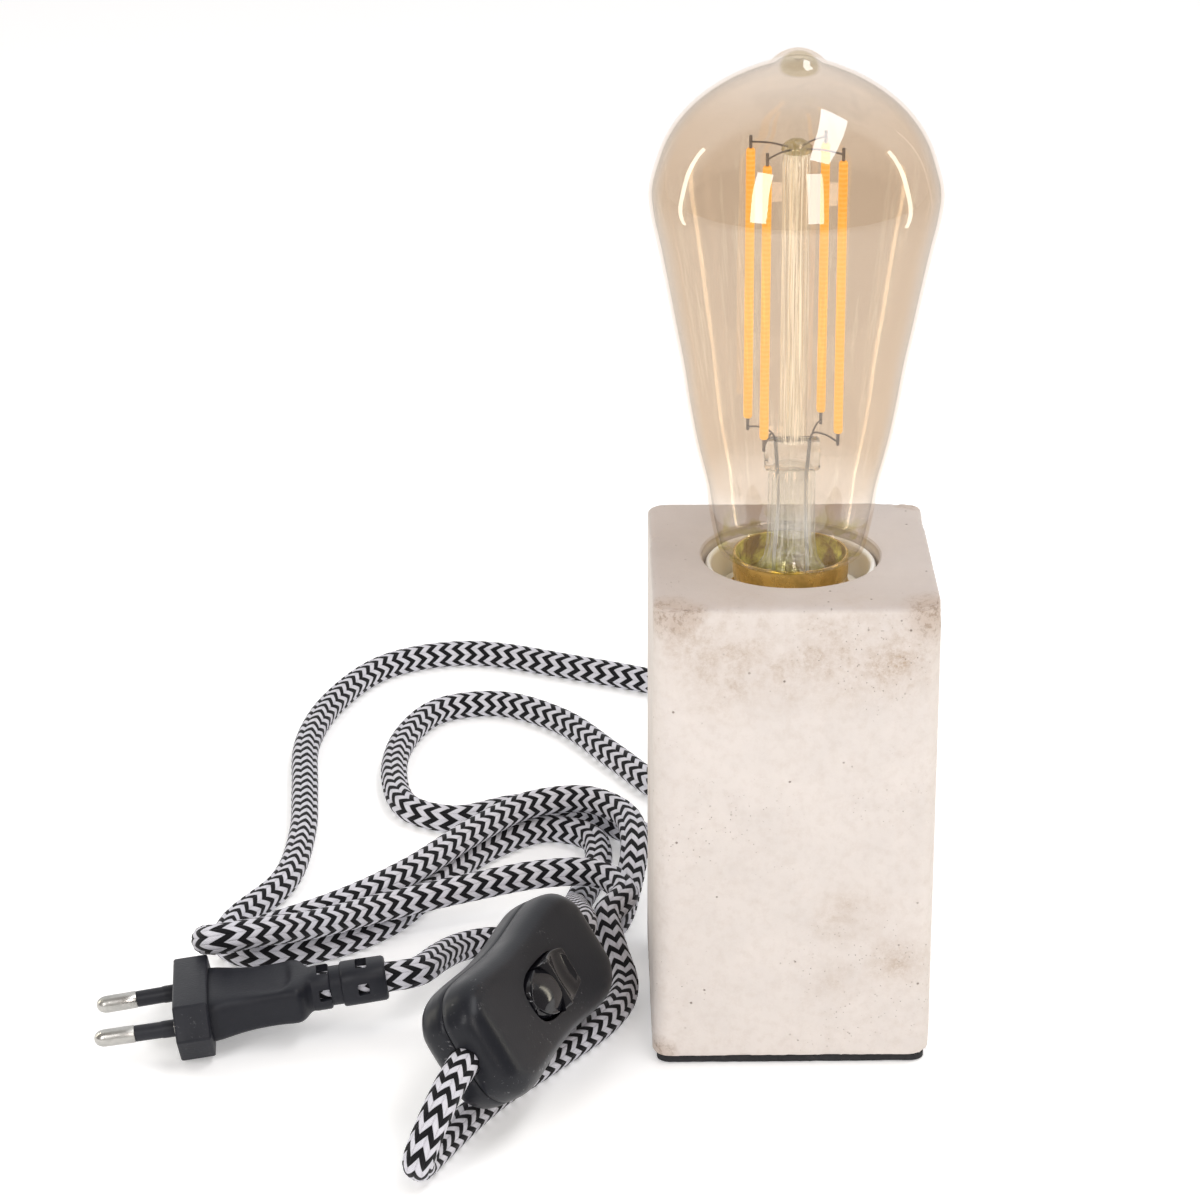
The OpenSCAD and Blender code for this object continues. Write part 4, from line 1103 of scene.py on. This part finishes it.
def glass_stem():
    """The flare, the pinch (second material) and the post (third material)"""
    flare = spun(
        [
            (10.2, 106.1), (11.3, 106.1), (11.3, 106.9), (8, 109), (6, 112.5), (5.4, 117),
            (5.3, 131.8), (5.0, 133.3), (4.2, 134.4), (2, 134.9), (0, 135), (0, 133.6),
            (2, 133.4), (3.8, 132.4), (4.45, 130.6), (4.5, 117), (5.2, 112.1), (7.4, 108.2),
        ],
        64, closed=True,
    )
    pinch = rounded_box((12.4, 3.6, 7.8), (0, 0, 136.8), 1.2, 3)
    bmesh.ops.subdivide_edges(
        pinch, edges=[e for e in pinch.edges if e.calc_length() > 0.0015], cuts=6,
        use_grid_fill=True,
    )
    for vert in pinch.verts:
        push = noise.noise(vert.co * 900) * 0.5 + noise.noise(vert.co * 2100) * 0.3
        vert.co.y *= 1 + 0.5 * push
        vert.co.x *= 1 + 0.08 * push
    bmesh.ops.recalc_face_normals(pinch, faces=pinch.faces)
    post = spun(
        [(1.6, 140), (3.3, 140), (3.2, 142), (3.1, 150), (3.1, 196), (3.2, 203), (3.0, 205.6),
         (2.4, 206), (1.6, 206)],
        48, closed=True,
    )
    return joined(flare, tagged(pinch, 1), tagged(post, 2))


class LAMP_OT_bulb(bpy.types.Operator):
    """Blow the glass and set the cap, the stem and the four filaments"""

    bl_idname = "lamp.bulb"
    bl_label = "Filament bulb"

    def execute(self, context):
        sizes = context.scene.lamp_bulb
        lining = thin_glass_paint("glass_lining", (0.995, 0.99, 0.985), 0.012, 0.05)
        finish_piece(
            "glass_bulb", blown_glass(sizes.wall / MM), [coated_glass_paint(sizes), lining],
            "bulb", ["glass_envelope"], 40,
        )
        brass = metal_paint("cap_brass", (0.83, 0.60, 0.24), 0.22, (0.40, 0.27, 0.09))
        finish_piece(
            "screw_cap", rolled_cap(), [brass, cap_lining_paint()], "bulb", ["bulb_cap"],
            40,
        )
        dress_node(
            "cap_insulator", moulded_paint("cap_glass_black", (0.012, 0.012, 0.013), 0.12)
        )
        clear = thin_glass_paint("stem_glass", (0.985, 0.99, 0.985), 0.09, 0.85, streaks=0.26)
        drawn = thin_glass_paint("post_glass", (0.985, 0.985, 0.96), 0.07, 0.6, streaks=0.7)
        finish_piece(
            "stem", glass_stem(), [clear, pinch_paint(), drawn], "bulb", ["glass_stem"],
            40,
        )
        phosphor = phosphor_paint(sizes)
        for number, angle in enumerate(FILAMENT_ANGLES, 1):
            rod = spun(
                [
                    (0, 143.5), (0.7, 143.5), (0.93, 143.8), (1.0, 144.3), (1.0, 150), (1.0, 160),
                    (1.0, 174.5), (1.0, 190), (1.0, 200), (1.0, 204.7), (0.93, 205.2),
                    (0.7, 205.5), (0, 205.5),
                ],
                24,
            )
            finish_piece(
                f"filament_rod_{number}", moved(rod, on_ring(angle)), phosphor, "bulb",
                [f"filament_{number}"], 50,
            )
        return {"FINISHED"}


class LAMP_OT_wires(bpy.types.Operator):
    """Hang the filaments on their wires, from the hub above and the pinch below"""

    bl_idname = "lamp.wires"
    bl_label = "Support wires"

    def execute(self, context):
        dark = metal_paint("support_wire", (0.30, 0.28, 0.27), 0.35)

        def wire(points, r=0.22):
            return tube(points, 10, lambda away, turn: r, 0.5)[0]

        def crimp(profile, angle):
            return moved(spun(profile, 12), on_ring(angle))

        hub = spun(
            [
                (0, 205.9), (2.6, 205.9), (3.3, 206.2), (3.4, 206.8), (3.3, 207.4), (2.6, 208.1),
                (1.5, 208.8), (0.6, 209), (0, 209),
            ],
            40,
        )
        parts = [tagged(hub, 1)]
        upper = ((2.2, 207), (6, 207.3), (9.5, 207.1), (RING, 206.9))
        upper_crimp = [
            (0, 205.4), (0.34, 205.4), (0.36, 205.6), (0.36, 208.2), (0.3, 208.4), (0, 208.4)
        ]
        for angle in FILAMENT_ANGLES:
            parts.append(wire([on_ring(angle, height, reach) for reach, height in upper]))
            parts.append(crimp(upper_crimp, angle))
        olive = thin_glass_paint("hub_glass", (0.74, 0.70, 0.50), 0.10, 0.5, streaks=0.25)
        finish_piece(
            "top_spider", joined(*parts), [dark, olive], "bulb", ["top_hub"], 40
        )
        pale = insulation_paint("glass_sleeve", (0.72, 0.78, 0.88))
        lower_crimp = [(0, 140.6), (0.3, 140.6), (0.36, 140.8), (0.36, 143.5), (0, 143.6)]
        one, two, three, four = FILAMENT_ANGLES
        for pole, side, pair in (("live", 1, (one, four)), ("neutral", -1, (two, three))):
            sleeve = wire(
                [
                    (side * 3.75, 0, 108), (side * 3.75, 0, 112), (side * 3.2, -0.6, 120),
                    (side * 3.1, -0.4, 130), (side * 3.75, 0, 139.6),
                ],
                0.42,
            )
            parts = [tagged(sleeve, 1)]
            for angle in pair:
                x, y, z = on_ring(angle, 141.4)
                halfway = ((side * 4.4 + x) / 2, y / 2, 142.2)
                start = [(side * 3.75, 0, 139.4), (side * 4.4, 0, 141.6)]
                parts.append(wire([*start, halfway, (x, y, z)]))
                parts.append(crimp(lower_crimp, angle))
            finish_piece(
                f"lower_wires_{pole}", joined(*parts), [dark, pale], "bulb",
                [f"support_{pole}"], 40,
            )
        return {"FINISHED"}


SHELL_QUARTER = [
    (31.2, 0), (31.2, 5.6), (30.7, 8.6), (28.9, 11.2), (26.2, 13.3), (22.6, 14.3), (18, 14.3),
    (11, 13.7), (5, 13.2), (0, 13.1),
]
# height, inset from the outline and share of the way to the middle: inside, then outside
SHELL_ROWS = [
    (6.7, 2.9, 1.0), (6.7, 2.9, 0.5), (6.7, 2.9, 0.0), (6.2, 2.3, 0), (5.0, 2.0, 0), (0.04, 2.0, 0),
    (0.04, 0.30, 0), (0.30, 0.02, 0), (1.6, 0, 0), (3.0, 0.06, 0), (4.2, 0.22, 0), (5.2, 0.5, 0),
    (6.1, 0.95, 0), (6.9, 1.6, 0), (7.6, 2.4, 0), (8.13, 3.3, 0), (8.42, 3.3, 0.08),
    (8.6, 3.3, 0.17), (8.7, 3.3, 0.28), (8.75, 3.3, 0.42), (8.78, 3.3, 0.6), (8.8, 3.3, 0.8),
    (8.8, 3.3, 1.0),
]


def shell_outline(count):
    """The waisted outline of the switch: points and outward normals"""
    upper = SHELL_QUARTER + [(-x, y) for x, y in SHELL_QUARTER[-2::-1]]
    loop = [(x, y, 0) for x, y in upper + [(x, -y) for x, y in upper[-2::-1]]]
    _, length = eased(loop, 1.0)
    line, _ = eased(loop, length / count)
    out = []
    for i in range(count):
        along = line[(i + 1) % count] - line[(i - 1) % count]
        out.append((line[i], Vector((along.y, -along.x, 0)).normalized()))
    return out


def half_shell(up):
    """One hollow half of the switch in its own frame; up is 1 for the half with the rocker"""
    outline = shell_outline(160)

    def place(row, turn):
        z, inset, share = SHELL_ROWS[row]
        point, normal = outline[round(turn * len(outline)) % len(outline)]
        edge = point - normal * inset
        at = edge.lerp(Vector((edge.x * 0.62, 0, 0)), share)
        return at.x, at.y, z * up

    return skin(len(SHELL_ROWS), len(outline), place)


ROCKER_STEP = -2.4  # x of the step between its near and far half, in mm


def rocker_profile():
    """Side view of the rocker: the near barrel, the step and the dished far face, in mm"""

    def arc(last):
        turns = [math.radians(a) for a in range(-8, last, 3)]
        return [(10.2 * math.cos(a), 10.2 * math.sin(a)) for a in turns]

    near = [
        *arc(2), (9.85, 0.7), (9.3, 1.3), (8.4, 2.1), (7, 3.05), (5.6, 3.85), (4.2, 4.5),
        (3.2, 4.9), (2.85, 4.9), (2.65, 4.5),
    ]
    face = [
        (-2.2, 4.6), (-2.0, 5.2), (-1.5, 5.35), (-0.8, 5.15), (0.5, 5.1), (2.5, 5.25), (4.5, 5.6),
        (6.5, 6.2), (7.6, 6.7), (8.1, 6.95), (8.45, 6.85), (8.7, 6.4), (8.74, 5.8),
    ]
    points = [(-x, 0, z) for x, z in near] + [(ROCKER_STEP, 0, 4.2)]
    points += [(x, 0, z) for x, z in face + arc(31)[::-1]]
    return eased(points, 0.22)[0]


def rocker_half_width(x):
    """Half the width of the rocker's oval plan, in mm"""
    return 0.6 + 5.3 * max(0.0, 1 - (abs(x) / 10.25) ** 3.2) ** 0.5


def rocker_body():
    """The rocker in its own frame: a rounded near half and a dished far half"""
    line = rocker_profile()
    # the top takes this share of the way round, and then the bevel ends
    flat_share, bevel_share, bevel = 0.68, 0.8, 0.45

    def place(row, turn):
        here = line[row]
        along = line[min(row + 1, len(line) - 1)] - line[max(row - 1, 0)]
        normal = Vector((-along.z, 0, along.x)).normalized()
        half = rocker_half_width(here.x)
        side = turn * 2 - 1
        away, hand = abs(side), math.copysign(1, side)
        flat = half - bevel

        def level(y):
            if here.x < ROCKER_STEP:
                return 2.2 * (y / 6) ** 2 * min(1, max(0, (here.z + 1) / 3))
            if here.z <= 3:
                return 0.0
            return 0.9 * max(0.0, 1 - ((here.x - 3.2) / 5.2) ** 2 - (y / 5.4) ** 2)

        if away <= flat_share:
            y = away / flat_share * flat
            low = here - normal * level(y)
            return low.x, y * hand, low.z
        if away <= bevel_share:
            bend = (away - flat_share) / 0.12 * math.pi / 2
            low = here - normal * (level(flat) + bevel * (1 - math.cos(bend)))
            return low.x, (flat + bevel * math.sin(bend)) * hand, low.z
        low = here - normal * (level(flat) + bevel)
        foot = Vector((max(-9.7, min(9.7, here.x)), 0, -1.42))
        low = low.lerp(foot, (away - bevel_share) / 0.2)
        return low.x, half * hand, low.z

    return skin(len(line), 60, place)


def oval_point(turn, half_x, half_y, power):
    """A point of a rounded rectangle, squarer with a greater power"""
    c, s = math.cos(TURN * turn), math.sin(TURN * turn)
    x = half_x * math.copysign(abs(c) ** (2 / power), c)
    return x, half_y * math.copysign(abs(s) ** (2 / power), s)


def oval_bar(half_x, half_y, power, low, high):
    """An upright bar of oval plan, for cutting the opening of the rocker"""

    def place(row, turn):
        x, y = oval_point(turn, half_x, half_y, power)
        return ((0, 0, low), (x, y, low), (x, y, high), (0, 0, high))[row]

    return skin(4, 96, place)


class LAMP_OT_switch(bpy.types.Operator):
    """Mould the inline switch and its rocker"""

    bl_idname = "lamp.switch"
    bl_label = "Inline switch"

    def execute(self, context):
        sizes = context.scene.lamp_fittings
        black = moulded_paint("switch_black", tuple(sizes.black), 0.34, wear=0.7, spec=0.26)
        gloss = moulded_paint("rocker_black", tuple(sizes.gloss), 0.08, depth=0.000006, spec=0.55)

        def in_switch(bm):
            return seated(bm, SWITCH_AT, SWITCH_TURNS)

        def cord_hole():
            return in_switch(bar_between((-40, 0, 0), (40, 0, 0), 3.62, 64))

        def shell(name, up, node):
            return finish_piece(
                name, in_switch(half_shell(up)), black, "foot", [node], 50,
                "switch",
            )

        opening = oval_bar(10.55, 6.35, 3.0, 3.5, 15.5)
        cut_with(
            shell("switch_lid", 1, "switch_top"), in_switch(opening), cord_hole(), sharp=50
        )
        screw_wells = (bar_between((x, -8.9, -12), (x, -8.9, -5.6), 2.4) for x in (-12, 12))
        cut_with(
            shell("switch_tray", -1, "switch_bottom"), cord_hole(), *map(in_switch, screw_wells),
            sharp=50,
        )
        body = seated(rocker_body(), (0, 0, 6.2), (0, 18, 0))
        finish_piece(
            "rocker_key", in_switch(body), gloss, "rocker", ["rocker"], 50,
            "switch",
        )
        return {"FINISHED"}


# distance from the collar's face, half width, half height and squareness of the plug's body
PLUG_ROWS = [
    (7.4, 0.1, 0.1, 5), (7.4, 11.2, 5.2, 5), (8.3, 11.35, 5.35, 5), (10, 11.0, 5.3, 5),
    (11.5, 10.5, 5.2, 5), (13, 10.0, 5.1, 5), (14.5, 9.6, 5.0, 5), (16, 9.3, 4.9, 5),
    (18, 9.05, 4.82, 5), (20, 8.92, 4.8, 5), (22, 8.86, 4.8, 5), (23, 8.87, 4.8, 5),
    (24, 8.88, 4.82, 5), (24.7, 8.91, 4.84, 5), (25.3, 8.95, 4.86, 5), (25.9, 9.0, 4.88, 5),
    (26.4, 9.03, 4.9, 5), (26.9, 9.07, 4.9, 5), (27.4, 9.1, 4.9, 5), (28.0, 9.12, 4.86, 4.8),
    (28.5, 9.0, 4.82, 4.5), (29.1, 8.6, 4.76, 4), (29.7, 7.7, 4.7, 3.6), (30.2, 6.6, 4.64, 3.2),
    (30.8, 5.5, 4.6, 3), (31.4, 4.95, 4.7, 2.8), (32, 4.9, 4.9, 2.7), (35.2, 4.9, 4.9, 2.7),
    (35.6, 4.75, 4.75, 2.6), (35.75, 4.42, 4.42, 2.3), (38.2, 4.42, 4.42, 2.3),
    (38.4, 4.75, 4.75, 2.6), (38.75, 4.9, 4.9, 2.7), (43, 4.9, 4.9, 2.7), (48.0, 4.85, 4.85, 2.7),
    (48.5, 4.65, 4.65, 2.6), (PLUG_NECK, 4.3, 4.3, 2.4), (PLUG_NECK, 3.58, 3.58, 2),
    (40, 3.58, 3.58, 2), (31.9, 3.58, 3.58, 2), (31.9, 0.05, 0.05, 2),
]


def plug_shell():
    """The plug's body with its thumb scoop, and its strain relief, in its own frame"""

    def place(row, turn):
        x, half_w, half_h, square = PLUG_ROWS[row]
        y, z = oval_point(turn, half_w, half_h, square)
        if 10 < x < 28 and half_h > 1:
            wide = max(0.0, 1 - (y / 8.0) ** 2)
            end = 25 + 2.6 * wide**0.5
            run = min(1, max(0, (x - 10) / 11)) ** 1.5 * min(1, max(0, (end - x) / 1.6))
            z -= math.copysign(1.15 * run * wide, z)
        return x, y, z

    return skin(len(PLUG_ROWS), 96, place)


def plug_collar():
    """The six-sided collar with soft edges"""
    bm = bmesh.new()
    bmesh.ops.create_circle(bm, cap_ends=True, segments=6, radius=1)
    corners = [
        (17.65, 0), (13.05, 6.85), (-13.05, 6.85), (-17.65, 0), (-13.05, -6.85), (13.05, -6.85)
    ]
    ordered = sorted(bm.verts, key=lambda v: math.atan2(v.co.y, v.co.x))
    for vert, (y, z) in zip(ordered, corners):
        vert.co = Vector((0, y, z)) * MM
    out = bmesh.ops.extrude_face_region(bm, geom=list(bm.faces))
    far = [v for v in out["geom"] if isinstance(v, bmesh.types.BMVert)]
    bmesh.ops.translate(bm, verts=far, vec=Vector((8, 0, 0)) * MM)
    bmesh.ops.recalc_face_normals(bm, faces=bm.faces)
    return bevelled(bm, 0.55, 4)


class LAMP_OT_plug(bpy.types.Operator):
    """Mould the flat plug and set its pins"""

    bl_idname = "lamp.plug"
    bl_label = "Plug"

    def execute(self, context):
        r = context.scene.lamp_fittings.pin_radius / MM
        black = moulded_paint(
            "plug_black", (0.011, 0.012, 0.017), 0.42, grain=1500, depth=0.00006, wear=0.25,
            spec=0.26,
        )
        sleeve_black = moulded_paint("sleeve_black", (0.016, 0.017, 0.022), 0.4, spec=0.25)
        nickel = metal_paint(
            "pin_nickel", (0.52, 0.51, 0.485), 0.27, (0.36, 0.36, 0.34), (8, 1, 1), 0.000003
        )

        def in_plug(bm):
            return seated(bm, PLUG_AT, PLUG_TURNS)

        body = finish_piece(
            "plug_moulding", in_plug(joined(plug_shell(), plug_collar())), black, "foot",
            ["plug_body"], 32, "plug",
        )
        near, far = 34.3, 43.3
        windows = [((2.6, 5.2, 5), (x, 0, 5.4)) for x in (near, far)]
        windows += [((2.6, 4.6, 2.8), (x, y, 0)) for x in (near, far) for y in (-5.2, 5.2)]
        cut_with(
            body, *(in_plug(rounded_box(size, at, 0.35, 2)) for size, at in windows), sharp=32
        )
        for hand, side in ((1, "live"), (-1, "neutral")):
            pin = spun(
                [
                    (0, -6.8), (r, -6.8), (r, 0.4), (r - 0.47, 0.42), (r - 0.47, 9.6),
                    (r - 0.06, 9.6), (r, 9.7), (r, 13), (r, 16.6), (r - 0.06, 17.2),
                    (r - 0.26, 17.8), (r - 0.6, 18.35), (r - 1.05, 18.75), (r - 1.55, 18.95),
                    (0, 19),
                ],
                64,
            )
            sleeve = spun(
                [
                    (r - 0.44, 0.4), (r, 0.4), (r, 3.0), (r - 0.05, 3.3), (r - 0.12, 3.5),
                    (r - 0.12, 9.3), (r - 0.18, 9.55), (r - 0.44, 9.58),
                ],
                64, closed=True,
            )
            for piece, mat, node, slot in (
                (pin, nickel, "pin", "pin_nickel"),
                (sleeve, sleeve_black, "sleeve", "black_plastic"),
            ):
                turned = seated(piece, (0, hand * 9.3, 0), (0, -90, hand * 1.8))
                finish_piece(
                    f"{node}_turned_{side}", in_plug(turned), mat, "foot", [f"{node}_{side}"],
                    35, "plug",
                )
        return {"FINISHED"}


class LAMP_OT_entry(bpy.types.Operator):
    """Fit the rubber bush in the rear hole and the cord that is held inside the foot"""

    bl_idname = "lamp.entry"
    bl_label = "Cord entry"

    def execute(self, context):
        rubber = moulded_paint("bush_rubber", (0.02, 0.02, 0.02), 0.6)
        profile = [
            (3.56, 20.6), (4.8, 20.5), (5, 20.7), (5, 31.45), (6.5, 31.5), (6.7, 31.7), (6.6, 32.8),
            (6.2, 33.1),
        ]
        for rib in range(4):
            y = 34.5 + 2.1 * rib
            r = 6.1 - 0.17 * (y - 33)
            profile += [
                (r, y - 0.1), (r - 0.15, y), (4.2, y + 0.05), (4.2, y + 0.75), (r - 0.3, y + 0.8),
                (r - 0.2, y + 0.95),
            ]
        profile += [(4.5, 42.7), (4.3, 43), (3.56, 43)]
        bush = seated(spun(profile, 72, closed=True), (0, 0, CORD_EXIT), (-90, 0, 0))
        finish_piece(
            "exit_bush", bush, rubber, "foot", ["cord_bush"], 40, "bush"
        )
        held = tube(
            HELD_ROUTE, 32, lambda away, turn: 3.45 + 0.05 * math.cos(12 * TURN * turn), 1.0
        )[0]
        braid = bpy.data.objects["lamp_flex"].data.materials[0]
        finish_piece("held_flex", held, braid, "foot", ["inner_cord"], 60)
        return {"FINISHED"}


# name, middle, vector across, vector upward, power in watts and colour of each studio light
LIGHTS = (
    ("ceiling_strip", (0.496, -0.343, 1.596), (0.40, -0.06, -0.12), (0.20, 1.238, 0.217),
     10, (0.97, 0.98, 1)),
    ("left_softbox", (-0.609, -0.96, 0.663), (0.231, -0.143, 0.013), (0.136, 0.245, 0.674),
     4.2, (1, 0.99, 0.99)),
    ("right_softbox", (0.245, -1.099, 0.691), (0.263, 0.047, -0.028), (-0.034, 0.303, 0.682),
     3.4, (1, 0.95, 0.93)),
    ("left_tube", (-0.45, 0.09, 0.26), (0.0, -0.038, 0), (0, 0.05, 0.44), 0.36, (1, 0.93, 0.74)),
    ("right_tube", (0.45, 0.02, 0.26), (0.0, 0.038, 0), (0, 0.05, 0.44), 0.36, (1, 0.93, 0.74)),
    ("left_rear_tube", (-0.45, 0.60, 0.26), (0.02, -0.04, 0), (0, 0, 0.44), 0.08, (1, 0.95, 0.82)),
    ("right_rear_tube", (0.45, 0.28, 0.26), (0.02, 0.03, 0), (0, 0, 0.44), 0.07, (1, 0.95, 0.82)),
)


class LAMP_OT_stage(bpy.types.Operator):
    """Set the pale floor and the soft studio light"""

    bl_idname = "lamp.stage"
    bl_label = "Stage"

    def execute(self, context):
        bm = bmesh.new()
        bmesh.ops.create_circle(bm, cap_ends=True, segments=96, radius=6)
        floor = as_object("floor", bm)
        paper = Paint("floor_paper")
        tone = paper.mix(paper.cloud(3, 2), (0.86, 0.86, 0.86), (0.88, 0.88, 0.88))
        paper.set(Base_Color=tone, Roughness=0.9)
        paper.set(Emission_Color=(1, 1, 1, 1), Emission_Strength=0.3)
        floor.data.materials.append(paper.mat)
        # white paper sweeps up behind the lamp, and the room before it is dim
        world = bpy.data.worlds.new("studio")
        context.scene.world = world
        studio = Nodes(world)
        ahead = studio.split(studio.add("ShaderNodeTexCoord").outputs["Generated"])[1]
        sweep = studio.ramp(ahead, (0.0, (0.33, 0.305, 0.285)), (0.22, (0.95, 0.95, 0.96)))
        back = studio.nodes["Background"].inputs
        studio.feed(back["Color"], sweep)
        studio.feed(back["Strength"], 1.0)
        for name, middle, across, upward, power, colour in LIGHTS:
            data = bpy.data.lights.new(name, "AREA")
            data.shape = "RECTANGLE"
            x, y = Vector(across), Vector(upward)
            data.size, data.size_y, data.energy, data.color = x.length, y.length, power, colour
            y.normalize()
            x = (x - x.dot(y) * y).normalized()
            inward = x.cross(y)
            if inward.dot(Vector(middle) - Vector((0, 0, 0.15))) < 0:
                x, inward = -x, -inward
            stand(context, name, data, middle, (x, y, inward))
        context.scene.view_settings.view_transform = "Standard"
        return {"FINISHED"}


class LAMP_PT_panel(bpy.types.Panel):
    """Lists the steps that build the lamp"""

    bl_idname = "LAMP_PT_panel"
    bl_label = "Concrete table lamp"
    bl_space_type = "VIEW_3D"
    bl_region_type = "UI"
    bl_category = "Lamp"

    def draw(self, context):
        for step in STEPS:
            self.layout.operator(step.bl_idname)


STEPS = (
    LAMP_OT_camera, LAMP_OT_cord, LAMP_OT_foot, LAMP_OT_pad, LAMP_OT_holder, LAMP_OT_bulb,
    LAMP_OT_wires, LAMP_OT_switch, LAMP_OT_plug, LAMP_OT_entry, LAMP_OT_declare_cord,
    LAMP_OT_stage,
)
SETTINGS = {
    "lamp_concrete": ConcreteSettings, "lamp_cord": CordSettings,
    "lamp_bulb": BulbSettings, "lamp_fittings": FittingSettings,
}


def register():
    for cls in (*SETTINGS.values(), *STEPS, LAMP_PT_panel):
        bpy.utils.register_class(cls)
    for name, cls in SETTINGS.items():
        setattr(bpy.types.Scene, name, bpy.props.PointerProperty(type=cls))


def unregister():
    for name in SETTINGS:
        delattr(bpy.types.Scene, name)
    for cls in (LAMP_PT_panel, *STEPS[::-1], *list(SETTINGS.values())[::-1]):
        bpy.utils.unregister_class(cls)


def main():
    register()
    for step in STEPS:
        area, name = step.bl_idname.split(".")
        getattr(getattr(bpy.ops, area), name)()


if __name__ == "__main__":
    main()
